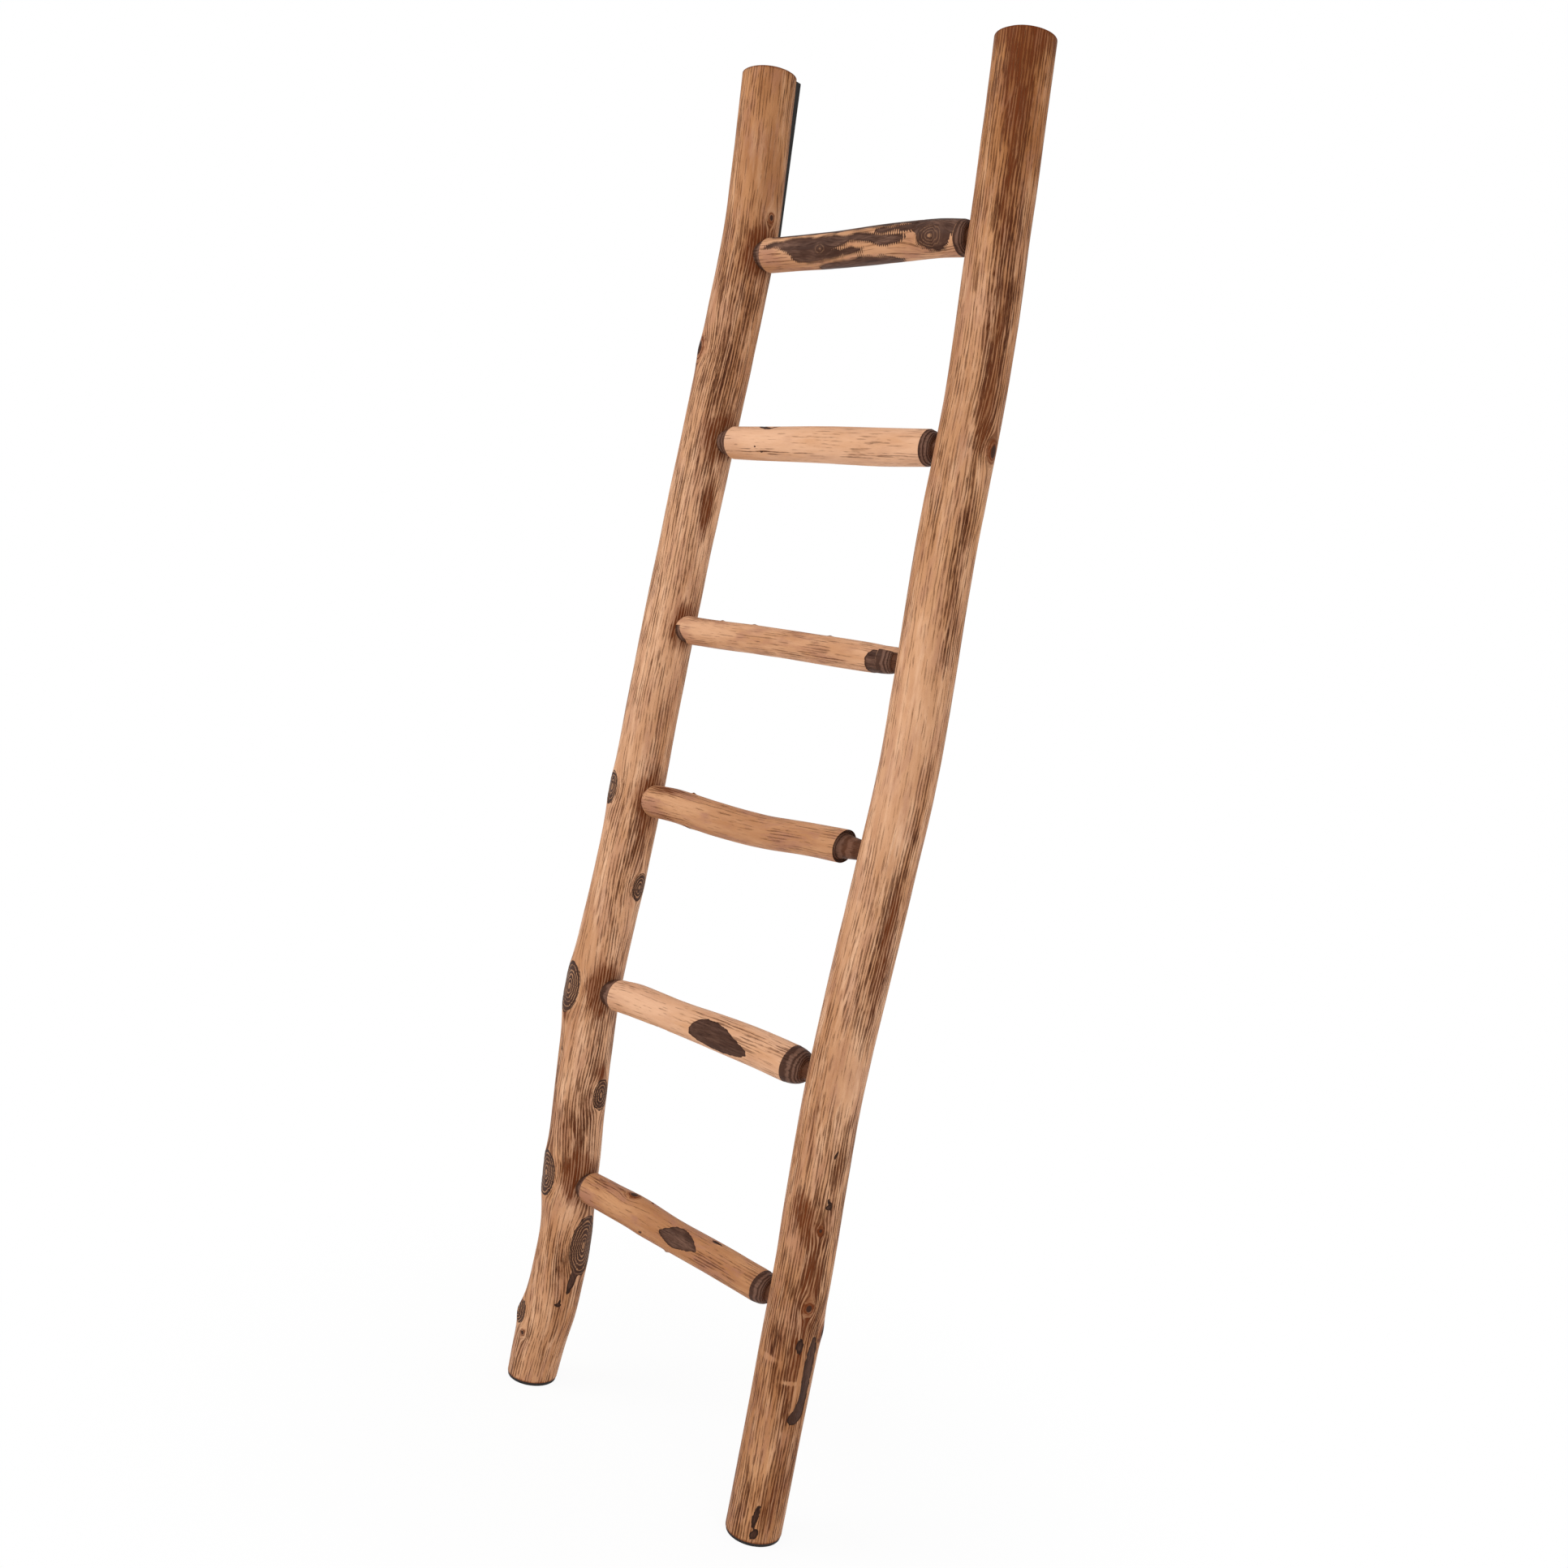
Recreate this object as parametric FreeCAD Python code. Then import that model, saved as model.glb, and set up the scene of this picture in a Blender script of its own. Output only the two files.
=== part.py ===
"""Rustic log blanket ladder, standing upright.

Two peeled, naturally bowed log rails carry six log rungs.  Every rung ends in a
domed shoulder and a round tenon that is glued into a blind mortise in the rail
and locked by a wood screw from the back.  Each rail stands on a thin foot pad
and carries a long wall pad on a flat planed into the back of its top.

Millimetres.  +Z is up along the rails, +X runs along the rungs to the right
rail and +Y points back, at the wall.  The floor is z = 0.
"""
import FreeCAD, Part
import math
import os

from FreeCAD import Vector

# ---------------------------------------------------------------- driving sizes
rail_spacing = 440.0            # between the two rails' middles
rail_diameter = 73.0
first_rung_height = 295.0       # floor to the lowest rung
rung_spacing = 260.0
rail_above_top_rung = 235.0

tenon_diameter = 25.0
tenon_past_middle = 6.0         # how far a tenon runs past the rail's middle
mortise_clearance = 0.1         # round the tenon
mortise_end_gap = 2.0           # glue room at the mortise's end
tenon_end_chamfer = 1.5
tenon_shown_share = 0.3         # share of a neck that is bare tenon
shortest_dome = 3.0
dome_knee_run = 0.72            # a dome's curve passes here: share of its length
dome_knee_rise = 0.64           # and share of the step from the tenon to the log

screw_shank_diameter = 4.2
screw_head_diameter = 8.4
screw_head_depth = 2.6
screw_length = 45.0
screw_point_length = 6.0
screw_sink = 1.0                # head below the back of the rail
screw_clearance = 0.1
screw_inset = 9.0               # from the rail's middle towards the rung
screw_slot_width = 1.2
screw_slot_depth = 1.0

foot_pad_thickness = 4.0
foot_pad_inset = 1.0            # pad's edge inside the foot's edge
foot_pad_edge = 1.0             # rounding of the pad's lower edge

wall_pad_width = 30.0
wall_pad_thickness = 11.0
wall_pad_edge = 3.0
wall_pad_inward = 5.0           # pad's middle line towards the rungs
wall_flat_depth = 5.0           # planed off the back of the rail
wall_pad_over_top = 3.0         # above the sawn top
wall_pad_above_screw = 20.0     # above the top rung's screw
wall_flat_below_pad = 2.5       # the flat runs on below the pad

grinding_length = 2.2           # of the block that grinds a knot, in its half lengths
grinding_width = 3.0            # in its half widths
planing_reach = 2.0             # of the block that planes a flat, in rail diameters
edge_tolerance = 0.01           # for finding the edges to round

# ------------------------------------------------------- shape of the two rails
# (share of the rail's length, sideways bow, backward bow, extra radius)
left_rail_bow = [
    (0.000, -2.0, 0.0, -1.5),
    (0.030, 1.0, 0.5, 0.5),
    (0.055, 6.5, 2.0, 1.7),
    (0.085, 9.5, 3.5, 0.8),
    (0.115, 9.0, 4.0, 0.0),
    (0.145, 3.5, 3.5, 0.5),
    (0.175, 1.0, 1.5, 1.0),
    (0.220, -6.0, -1.0, 0.3),
    (0.265, -10.0, -4.0, 0.5),
    (0.305, -12.3, -6.0, 1.0),
    (0.350, -8.8, -6.0, 0.7),
    (0.405, -3.5, -4.5, 0.3),
    (0.470, -2.0, -3.0, 0.5),
    (0.550, -2.5, -1.5, 0.0),
    (0.635, -1.0, 1.0, 0.0),
    (0.710, 4.0, 2.0, 0.2),
    (0.775, 8.0, 3.0, 0.7),
    (0.840, 12.0, 3.5, 0.5),
    (0.885, 14.0, 3.0, 0.3),
    (0.930, 9.0, 2.0, 0.0),
    (0.965, 3.5, 1.0, 0.0),
    (1.000, -2.0, 0.0, 0.0),
]
right_rail_bow = [
    (0.000, 1.5, 0.0, -1.0),
    (0.065, 0.7, 0.5, -1.2),
    (0.125, -0.5, 1.5, -0.4),
    (0.180, -2.0, 2.5, -0.3),
    (0.235, -6.0, 3.0, 0.0),
    (0.295, -9.0, 3.0, -0.3),
    (0.350, -6.0, 2.0, 0.0),
    (0.405, 0.0, 0.5, 0.3),
    (0.460, 7.5, -2.0, 0.0),
    (0.505, 12.0, -3.5, 0.0),
    (0.540, 13.5, -4.0, -0.3),
    (0.585, 10.5, -3.5, -0.3),
    (0.635, 5.5, -2.5, -0.3),
    (0.685, 1.5, -1.0, -0.2),
    (0.765, 0.5, 1.0, -0.2),
    (0.815, -4.0, 1.5, 0.0),
    (0.865, -10.5, 1.5, 0.0),
    (0.910, -15.5, 1.0, 0.0),
    (0.950, -21.0, 0.5, 0.0),
    (1.000, -28.0, 0.0, 0.5),
]

# Branch knots left proud on the rails:
# (share of the rail's length, turn in degrees, half length, half width, rise, ground depth)
# A turn of 0 faces the front, 90 the right, 180 the wall.
left_rail_knots = [
    (0.049, -36.0, 26.0, 17.0, 5.0, 1.0),
    (0.112, 99.0, 44.0, 23.0, 3.0, 3.5),
    (0.165, -16.0, 37.0, 20.0, 7.5, 4.0),
    (0.2295, 98.0, 26.0, 16.0, 3.0, 1.5),
    (0.310, -13.0, 40.0, 21.0, 7.5, 4.0),
    (0.395, 101.0, 20.0, 13.0, 1.5, 1.0),
    (0.465, -20.0, 27.0, 15.0, 3.5, 2.5),
    (0.796, -25.0, 24.0, 15.0, 4.0, 1.0),
    (0.620, 200.0, 26.0, 16.0, 4.0, 3.5),
]
right_rail_knots = [
    (0.146, 118.0, 20.0, 14.0, 3.0, 1.0),
    (0.166, 64.0, 16.0, 12.0, 2.0, 0.5),
    (0.738, 96.0, 20.0, 13.0, 3.0, 1.0),
    (0.430, 215.0, 26.0, 16.0, 4.0, 3.5),
]

# ------------------------------------------------------------ the rungs' shapes
# Lowest rung first.  Height shifts are from the even spacing, a neck is the gap
# from the rail's side to the log's full width, arch points are (share of the
# log's length, rise, push back, extra radius) and knots are (share, turn in
# degrees, half length, half width, rise, ground depth) with 0 at the front and
# 90 on top.
rung_forms = [
    {"left_shift": 1.0, "right_shift": -3.0, "left_diameter": 43.0, "right_diameter": 42.0,
     "left_neck": 6.0, "right_neck": 25.0,
     "arch": [(0.12, 0.5, 0.0, 0.5), (0.3, 2.0, -1.0, 1.5), (0.5, 0.0, 0.0, 0.3),
              (0.75, 0.0, 1.0, 0.3)],
     "knots": [(0.27, 80.0, 16.0, 10.0, 2.5, 0.5), (0.5, 5.0, 20.0, 14.0, 1.5, 1.0),
               (0.35, -88.0, 16.0, 11.0, 2.0, 0.5)]},
    {"left_shift": 16.0, "right_shift": 22.0, "left_diameter": 44.0, "right_diameter": 49.0,
     "left_neck": 13.0, "right_neck": 36.0,
     "arch": [(0.12, 2.5, 0.0, 0.8), (0.35, 2.0, 1.0, -0.7), (0.6, 3.5, -2.0, 0.5),
              (0.82, 3.0, -1.0, 0.5)],
     "knots": [(0.6, 12.0, 26.0, 17.0, 1.5, 1.5), (0.33, -72.0, 14.0, 10.0, 2.5, 0.5)]},
    {"left_shift": 30.5, "right_shift": 46.5, "left_diameter": 44.0, "right_diameter": 43.0,
     "left_neck": 4.0, "right_neck": 34.0,
     "arch": [(0.12, 0.0, 0.0, 0.5), (0.35, -5.0, 1.0, 0.7), (0.6, -6.0, 1.0, 0.2),
              (0.85, -1.5, 0.0, 0.0)],
     "knots": [(0.17, 70.0, 14.0, 10.0, 1.5, 0.5), (0.93, 75.0, 12.0, 9.0, 1.5, 0.5)]},
    {"left_shift": 8.5, "right_shift": 18.5, "left_diameter": 38.0, "right_diameter": 35.0,
     "left_neck": 4.0, "right_neck": 30.0,
     "arch": [(0.15, 0.0, 0.0, 0.0), (0.4, 1.0, -1.0, 0.2), (0.7, 1.0, 0.0, 0.3),
              (0.9, 0.5, 0.0, 0.8)],
     "knots": [(0.93, -12.0, 24.0, 13.0, 0.5, 2.0)]},
    {"left_shift": 5.0, "right_shift": 17.0, "left_diameter": 43.0, "right_diameter": 45.0,
     "left_neck": 16.0, "right_neck": 18.0,
     "arch": [(0.15, 0.0, 0.0, 0.6), (0.45, 0.5, -0.5, 1.0), (0.75, 0.0, 0.0, 0.8)],
     "knots": [(0.18, 62.0, 13.0, 9.0, 1.0, 0.5)]},
    {"left_shift": -6.0, "right_shift": 9.0, "left_diameter": 45.0, "right_diameter": 44.0,
     "left_neck": 8.0, "right_neck": 14.0,
     "arch": [(0.15, 0.0, 0.0, 0.2), (0.4, -0.8, -1.0, 1.0), (0.65, 1.3, -1.0, 1.7),
              (0.88, 2.3, 0.0, 0.8)],
     "knots": [(0.24, 24.0, 34.0, 17.0, 1.0, 1.5), (0.72, 14.0, 22.0, 15.0, 1.5, 1.0),
               (0.5, 62.0, 36.0, 15.0, 1.0, 1.5)]},
]

# ------------------------------------------------------------- worked-out sizes
rail_radius = rail_diameter / 2.0
tenon_radius = tenon_diameter / 2.0
rung_count = len(rung_forms)
top_rung_height = first_rung_height + (rung_count - 1) * rung_spacing
rail_top = top_rung_height + rail_above_top_rung
rail_foot = foot_pad_thickness
rail_length = rail_top - rail_foot
wall_flat_back = rail_radius - wall_flat_depth    # behind the rails' plane

front = Vector(0, -1, 0)
up = Vector(0, 0, 1)
right = Vector(1, 0, 0)
back = Vector(0, 1, 0)


def slope_at(stations, index, column):
    """Slope of one column at a station, from its neighbours."""
    low = stations[max(index - 1, 0)]
    high = stations[min(index + 1, len(stations) - 1)]
    return (high[column] - low[column]) / (high[0] - low[0])


def smooth_value(stations, share, column):
    """Value of one column at a share of the length, on a cubic through the stations."""
    share = min(max(share, stations[0][0]), stations[-1][0])
    index = max(i for i in range(len(stations) - 1) if stations[i][0] <= share)
    low, high = stations[index], stations[index + 1]
    span = high[0] - low[0]
    t = (share - low[0]) / span
    rise = slope_at(stations, index, column) * span
    fall = slope_at(stations, index + 1, column) * span
    return ((2 * t ** 3 - 3 * t ** 2 + 1) * low[column] + (t ** 3 - 2 * t ** 2 + t) * rise
            + (3 * t ** 2 - 2 * t ** 3) * high[column] + (t ** 3 - t ** 2) * fall)


def rail_middle(side, height):
    """Point on a rail's centre line; side is -1 on the left and +1 on the right."""
    bow = left_rail_bow if side < 0 else right_rail_bow
    share = (height - rail_foot) / rail_length
    return Vector(side * rail_spacing / 2.0 + smooth_value(bow, share, 1),
                  smooth_value(bow, share, 2), height)


def rail_radius_at(side, height):
    """Radius of a rail without its knots."""
    bow = left_rail_bow if side < 0 else right_rail_bow
    return rail_radius + smooth_value(bow, (height - rail_foot) / rail_length, 3)


def ring(middle, radius, axis):
    """Round outline square to an axis, with its seam at the back."""
    circle = Part.makeCircle(radius)
    turn = FreeCAD.Rotation(back, axis.cross(back), axis, "ZXY")
    circle.Placement = FreeCAD.Placement(middle, turn)
    return Part.Wire(circle)


def log_solid(middles, radii, first_axis, last_axis=None):
    """Round log lofted through circles square to its line, or to the given end axes."""
    axes = [(ahead - behind).normalize() for behind, ahead in
            zip([middles[0]] + middles[:-1], middles[1:] + [middles[-1]])]
    axes[0] = first_axis
    axes[-1] = last_axis or axes[-1]
    rings = [ring(*place) for place in zip(middles, radii, axes)]
    return Part.makeLoft(rings, True, False)


def knot_solid(middle, outward, along, log_radius, half_length, half_width, rise):
    """Long egg that stands proud of a log's side by its rise."""
    centre = middle + outward * (log_radius + rise - half_width)
    tip = centre + along * half_length
    tail = centre - along * half_length
    side = centre + outward * half_width
    half = Part.Arc(Part.Ellipse(tip, side, centre), 0.0, math.pi).toShape()
    closing = Part.makeLine(half.Vertexes[-1].Point, half.Vertexes[0].Point)
    face = Part.Face(Part.Wire([half, closing]))
    return face.revolve(tail, along, 360.0)


def ground_off(middle, outward, along, log_radius, half_length, half_width, rise, depth):
    """Block that grinds the top of a knot flat."""
    length = along * (grinding_length * half_length)
    width = along.cross(outward) * (grinding_width * half_width)
    level = log_radius + rise - depth
    corner = middle + outward * level - (length + width) / 2.0
    base = Part.makePolygon([corner, corner + length, corner + length + width,
                             corner + width, corner])
    return Part.Face(base).extrude(outward * (rise + depth + half_width))


def add_knots(log, knots, place):
    """Log with its knots fused on and ground; place gives each knot's seat."""
    for share, turn, half_length, half_width, rise, depth in knots:
        middle, outward, along, radius = place(share, turn)
        log = log.fuse(knot_solid(middle, outward, along, radius,
                                  half_length, half_width, rise))
        log = log.cut(ground_off(middle, outward, along, radius,
                                 half_length, half_width, rise, depth))
    return log


def joint_points():
    """Middle of each rung's two joints on the rails' centre lines."""
    points = []
    for number, form in enumerate(rung_forms):
        even = first_rung_height + number * rung_spacing
        points.append((rail_middle(-1, even + form["left_shift"]),
                       rail_middle(+1, even + form["right_shift"])))
    return points


def joint_ends(number):
    """Joint middle, side and direction into the rail for both ends of a rung."""
    left_joint, right_joint = joint_points()[number]
    chord = (right_joint - left_joint).normalize()
    return [(left_joint, -1, chord * -1.0), (right_joint, +1, chord)]


def tenon_end(joint, outward, extra=0.0):
    """Far end of a tenon, or of its mortise with the extra depth."""
    return joint + outward * (tenon_past_middle + extra)


def shoulder_start(joint, side, outward, neck):
    """Where a rung's full width ends, a neck's length before the rail's side."""
    return joint - outward * (rail_radius_at(side, joint.z) + neck)


def shoulder_and_tenon(joint, side, outward, neck, body_radius):
    """Domed shoulder turned down to a round tenon, as one turned solid."""
    start = shoulder_start(joint, side, outward, neck)
    dome = max(neck * (1.0 - tenon_shown_share), shortest_dome)
    end = tenon_end(joint, outward)
    across = outward.cross(up).cross(outward).normalize()
    drop = body_radius - tenon_radius
    knee = (start + outward * (dome * dome_knee_run)
            + across * (tenon_radius + drop * dome_knee_rise))
    dome_arc = Part.Arc(start + across * body_radius, knee,
                        start + outward * dome + across * tenon_radius).toShape()
    path = [start + outward * dome + across * tenon_radius,
            end - outward * tenon_end_chamfer + across * tenon_radius,
            end + across * (tenon_radius - tenon_end_chamfer),
            end, start, start + across * body_radius]
    lines = [Part.makeLine(a, b) for a, b in zip(path, path[1:])]
    profile = Part.Face(Part.Wire([dome_arc] + lines))
    return profile.revolve(start, outward, 360.0)


def rung(number):
    """One log rung with its tenons, knots and screw holes."""
    form = rung_forms[number]
    (left_joint, _, leftward), (right_joint, _, rightward) = joint_ends(number)
    start = shoulder_start(left_joint, -1, leftward, form["left_neck"])
    end = shoulder_start(right_joint, +1, rightward, form["right_neck"])
    length = (end - start).Length
    rise_way = rightward.cross(up).cross(rightward).normalize()
    back_way = rise_way.cross(rightward).normalize()
    arch = [(0.0, 0.0, 0.0, 0.0)] + form["arch"] + [(1.0, 0.0, 0.0, 0.0)]

    def middle_at(share):
        return (start + rightward * (length * share) + rise_way * smooth_value(arch, share, 1)
                + back_way * smooth_value(arch, share, 2))

    def radius_at(share):
        diameter = form["left_diameter"] * (1.0 - share) + form["right_diameter"] * share
        return diameter / 2.0 + smooth_value(arch, share, 3)

    def knot_seat(share, turn):
        angle = math.radians(turn)
        outward = back_way * -math.cos(angle) + rise_way * math.sin(angle)
        return middle_at(share), outward, rightward, radius_at(share)

    shares = [station[0] for station in arch]
    log = log_solid([middle_at(s) for s in shares], [radius_at(s) for s in shares],
                    rightward, rightward)
    log = add_knots(log, form["knots"], knot_seat)
    for joint, side, outward in joint_ends(number):
        neck = form["left_neck"] if side < 0 else form["right_neck"]
        radius = radius_at(0.0) if side < 0 else radius_at(1.0)
        log = log.fuse(shoulder_and_tenon(joint, side, outward, neck, radius))
    for hole in screw_holes(number):
        log = log.cut(hole)
    return log


def screw_seat(joint, side, outward):
    """Point on the rail's back where a screw's axis comes out."""
    axis_point = joint - outward * screw_inset
    radius = rail_radius_at(side, joint.z)
    reach = math.sqrt(radius ** 2 - screw_inset ** 2)
    return Vector(axis_point.x, joint.y + reach, axis_point.z)


def turned(profile, seat):
    """Solid turned about a line that runs forward from a seat on the rail's back."""
    points = [seat + front * depth + right * radius for depth, radius in profile]
    return Part.Face(Part.makePolygon(points + [points[0]])).revolve(seat, back, 360.0)


def screw(joint, side, outward):
    """Countersunk wood screw with a driving cross, head towards the wall."""
    seat = screw_seat(joint, side, outward)
    shank = screw_shank_diameter / 2.0
    head = screw_head_diameter / 2.0
    neck_depth = screw_sink + screw_head_depth
    tip_depth = screw_sink + screw_length
    body = turned([(screw_sink, 0.0), (screw_sink, head), (neck_depth, shank),
                   (tip_depth - screw_point_length, shank), (tip_depth, 0.0)], seat)
    for along, across in ((up, right), (right, up)):
        corner = (seat + front * (screw_sink + screw_slot_depth)
                  - along * shank - across * (screw_slot_width / 2.0))
        base = Part.makePolygon([corner, corner + along * 2.0 * shank,
                                 corner + along * 2.0 * shank + across * screw_slot_width,
                                 corner + across * screw_slot_width, corner])
        body = body.cut(Part.Face(base).extrude(back * (2.0 * screw_slot_depth)))
    return body


def screw_hole(joint, side, outward):
    """Room for a screw: counterbore, countersink and shank with its clearance."""
    seat = screw_seat(joint, side, outward)
    shank = screw_shank_diameter / 2.0 + screw_clearance
    head = screw_head_diameter / 2.0 + screw_clearance
    above = -rail_radius
    tip_depth = screw_sink + screw_length + screw_clearance
    return turned([(above, 0.0), (above, head), (screw_sink + screw_clearance, head),
                   (screw_sink + screw_head_depth + screw_clearance, shank),
                   (tip_depth, shank), (tip_depth, 0.0)], seat)


def screw_holes(number):
    """Screw holes of both ends of a rung."""
    return [screw_hole(joint, side, outward) for joint, side, outward in joint_ends(number)]


def mortise(joint, outward):
    """Blind round mortise, open towards the rung."""
    end = tenon_end(joint, outward, mortise_end_gap)
    depth = tenon_past_middle + mortise_end_gap + rail_diameter
    return Part.makeCylinder(tenon_radius + mortise_clearance, depth, end, outward * -1.0)


def wall_pad_span(side):
    """Bottom and top points of a wall pad's middle line, on the planed flat."""
    top_joint = joint_points()[-1][0 if side < 0 else 1]
    low = rail_middle(side, top_joint.z + wall_pad_above_screw)
    high = rail_middle(side, rail_top)
    inward = side * wall_pad_inward
    return (Vector(low.x - inward, wall_flat_back, low.z),
            Vector(high.x - inward, wall_flat_back, rail_top + wall_pad_over_top))


def wall_flat(side):
    """Block that planes the flat for a wall pad off the back of a rail."""
    low, _ = wall_pad_span(side)
    reach = planing_reach * rail_diameter
    corner = Vector(low.x - reach, wall_flat_back, low.z - wall_flat_below_pad)
    return Part.makeBox(2.0 * reach, reach, rail_length, corner)


def wall_pad(side):
    """Long pad with rounded edges, flat against the back of a rail."""
    low, high = wall_pad_span(side)
    along = (high - low).normalize()
    across = back.cross(along).normalize() * (wall_pad_width / 2.0)
    base = Part.makePolygon([low - across, low + across, high + across, high - across,
                             low - across])
    block = Part.Face(base).extrude(back * wall_pad_thickness)
    outer = wall_flat_back + wall_pad_thickness
    rim = [edge for edge in block.Edges
           if min(vertex.Point.y for vertex in edge.Vertexes) > outer - edge_tolerance]
    return block.makeFillet(wall_pad_edge, rim)


def foot_pad(side):
    """Thin round pad under a rail's sawn foot."""
    foot = rail_middle(side, rail_foot)
    disc = Part.makeCylinder(rail_radius_at(side, rail_foot) - foot_pad_inset,
                             foot_pad_thickness, Vector(foot.x, foot.y, 0.0), up)
    rim = [edge for edge in disc.Edges
           if edge.Closed and abs(edge.CenterOfMass.z) < edge_tolerance]
    return disc.makeFillet(foot_pad_edge, rim)


def rail(side):
    """One bowed log rail with its knots, flat, mortises and screw holes."""
    bow = left_rail_bow if side < 0 else right_rail_bow
    knots = left_rail_knots if side < 0 else right_rail_knots
    heights = [rail_foot + station[0] * rail_length for station in bow]

    def knot_seat(share, turn):
        height = rail_foot + share * rail_length
        angle = math.radians(turn)
        outward = front * math.cos(angle) + right * math.sin(angle)
        return rail_middle(side, height), outward, up, rail_radius_at(side, height)

    log = log_solid([rail_middle(side, h) for h in heights],
                    [rail_radius_at(side, h) for h in heights], up)
    log = add_knots(log, knots, knot_seat)
    log = log.cut(wall_flat(side))
    end_index = 0 if side < 0 else 1
    for number in range(rung_count):
        joint, _, outward = joint_ends(number)[end_index]
        log = log.cut(mortise(joint, outward))
        log = log.cut(screw_holes(number)[end_index])
    return log


def build():
    """All the ladder's pieces by name, with the floor's middle at the origin."""
    pieces = {
        "left_rail": rail(-1),
        "right_rail": rail(+1),
        "left_foot_pad": foot_pad(-1),
        "right_foot_pad": foot_pad(+1),
        "left_wall_pad": wall_pad(-1),
        "right_wall_pad": wall_pad(+1),
    }
    for number in range(rung_count):
        pieces["rung_%d" % (number + 1)] = rung(number)
    pieces["tenon_screws"] = Part.makeCompound(
        [screw(joint, side, outward) for number in range(rung_count)
         for joint, side, outward in joint_ends(number)])
    box = Part.makeCompound(list(pieces.values())).optimalBoundingBox(True, False)
    shift = Vector(-box.Center.x, -box.Center.y, 0.0)
    for shape in pieces.values():
        shape.translate(shift)
    return pieces, shift


pieces, shift = build()
os.makedirs("parts", exist_ok=True)
for name, shape in pieces.items():
    solids = shape.Solids
    print("%-16s solids %2d  valid %s  volume %.0f mm3" % (name, len(solids), shape.isValid(),
                                                        shape.Volume))
    shape.exportStep("parts/%s.step" % name)
whole = Part.makeCompound(list(pieces.values())).optimalBoundingBox(True, False)
print("overall %.1f x %.1f x %.1f mm" % (whole.XLength, whole.YLength, whole.ZLength))
print("rails' middle plane is at x %.2f, y %.2f" % (shift.x, shift.y))
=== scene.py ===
"""Looks of a rustic log blanket ladder: peeled log rails and rungs, pads, screws and a plain studio.

The logs are worked out in millimetres along their own bowed lines, as rings of points, and written
as meshes in metres.  A place on a log is a height along it and a turn round it: on a rail a turn of
0 faces the front, 90 the right and 180 the wall; on a rung 0 is the front and 90 the top.
"""

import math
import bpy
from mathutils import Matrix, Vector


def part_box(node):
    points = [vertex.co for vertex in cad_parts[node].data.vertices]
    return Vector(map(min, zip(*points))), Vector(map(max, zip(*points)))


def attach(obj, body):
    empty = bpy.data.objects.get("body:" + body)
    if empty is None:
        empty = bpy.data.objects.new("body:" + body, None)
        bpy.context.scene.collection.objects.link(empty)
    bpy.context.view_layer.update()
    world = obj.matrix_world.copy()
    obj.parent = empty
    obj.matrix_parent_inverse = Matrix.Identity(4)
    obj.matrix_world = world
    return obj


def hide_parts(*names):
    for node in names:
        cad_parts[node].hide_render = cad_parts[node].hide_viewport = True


bl_info = {
    "name": "Log blanket ladder",
    "version": (1, 0, 0),
    "blender": (4, 5, 0),
    "location": "3D View > Sidebar > Log ladder",
    "description": "Builds the looks of a rustic log blanket ladder round its fixed frame",
    "category": "Object",
}

import bpy
import numpy as np
from mathutils import Matrix, Vector

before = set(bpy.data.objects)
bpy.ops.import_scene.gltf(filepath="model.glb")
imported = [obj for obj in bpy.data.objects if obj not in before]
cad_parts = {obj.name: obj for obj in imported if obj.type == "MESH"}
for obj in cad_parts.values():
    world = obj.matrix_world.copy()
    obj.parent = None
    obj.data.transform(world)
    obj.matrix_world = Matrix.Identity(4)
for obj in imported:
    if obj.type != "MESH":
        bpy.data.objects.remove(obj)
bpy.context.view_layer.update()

MM = 0.001
FULL_TURN = 2.0 * math.pi


def srgb(red, green, blue):
    """Linear colour of a colour given as it looks on a screen, 0 to 255."""
    shares = (value / 255.0 for value in (red, green, blue))
    return tuple(share / 12.92 if share <= 0.04045 else ((share + 0.055) / 1.055) ** 2.4
                 for share in shares)


# ----------------------------------------------------------------------- the ladder's sizes, in mm
TENON_RADIUS = 12.5
TENON_CHAMFER = 1.5
TENON_PAST_MIDDLE = 6.0
MORTISE_RADIUS = 12.7
MORTISE_END_GAP = 2.0
SCREW_INSET = 9.0
RAIL_FOOT = 4.0
RAIL_TOP = 1830.0
RAIL_LENGTH = RAIL_TOP - RAIL_FOOT
RAIL_RADIUS = 36.5
WALL_FLAT_BACK = 31.5
FIRST_RUNG = 295.0
RUNG_STEP = 260.0

# Depth and radius of a screw hole's bottom, of the mouth of its shaft and of the head's seat.
SCREW_HOLE = np.array([(46.0, 0.0), (3.7, 2.3), (1.1, 4.35)])

# The planed flat runs on this far below the wall pad, and then out at this slope.
FLAT_PAST_PAD = 2.0
FLAT_RUN_OUT = 0.9

# Bevel of a sawn end, how far below the face its first ring still lies, and the face's rings as
# shares of the rim.
BEVEL = 0.6
BEVEL_REST = 0.25
SAWN_SHARES = np.array([0.985, 0.97, 0.9, 0.78, 0.64, 0.5, 0.36, 0.22, 0.1, 0.02])

# Radii of the rings on a tenon's flat end.
TENON_END_RINGS = (6.0, 0.6)

# How much of a shoulder that was left in the round is gone where it meets the rail.
BARE_TAPER = 0.3

RIGHTWARD, BACKWARD, UPWARD = np.eye(3)

# -------------------------------------------------------------- how the logs are meshed and marked
# Rings of the mesh that lie in a hole, and rings round its middle that it draws closer; and how
# far round a log these may go, as a share of its radius.
MORTISE_RINGS = (6, 11)
SCREW_RINGS = (3, 7)
HOLE_REACH = 0.95

# Turn of the side of a rail that faces the rungs.
INNER_TURNS = {-1: math.pi * 0.5, +1: math.pi * 1.5}

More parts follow.
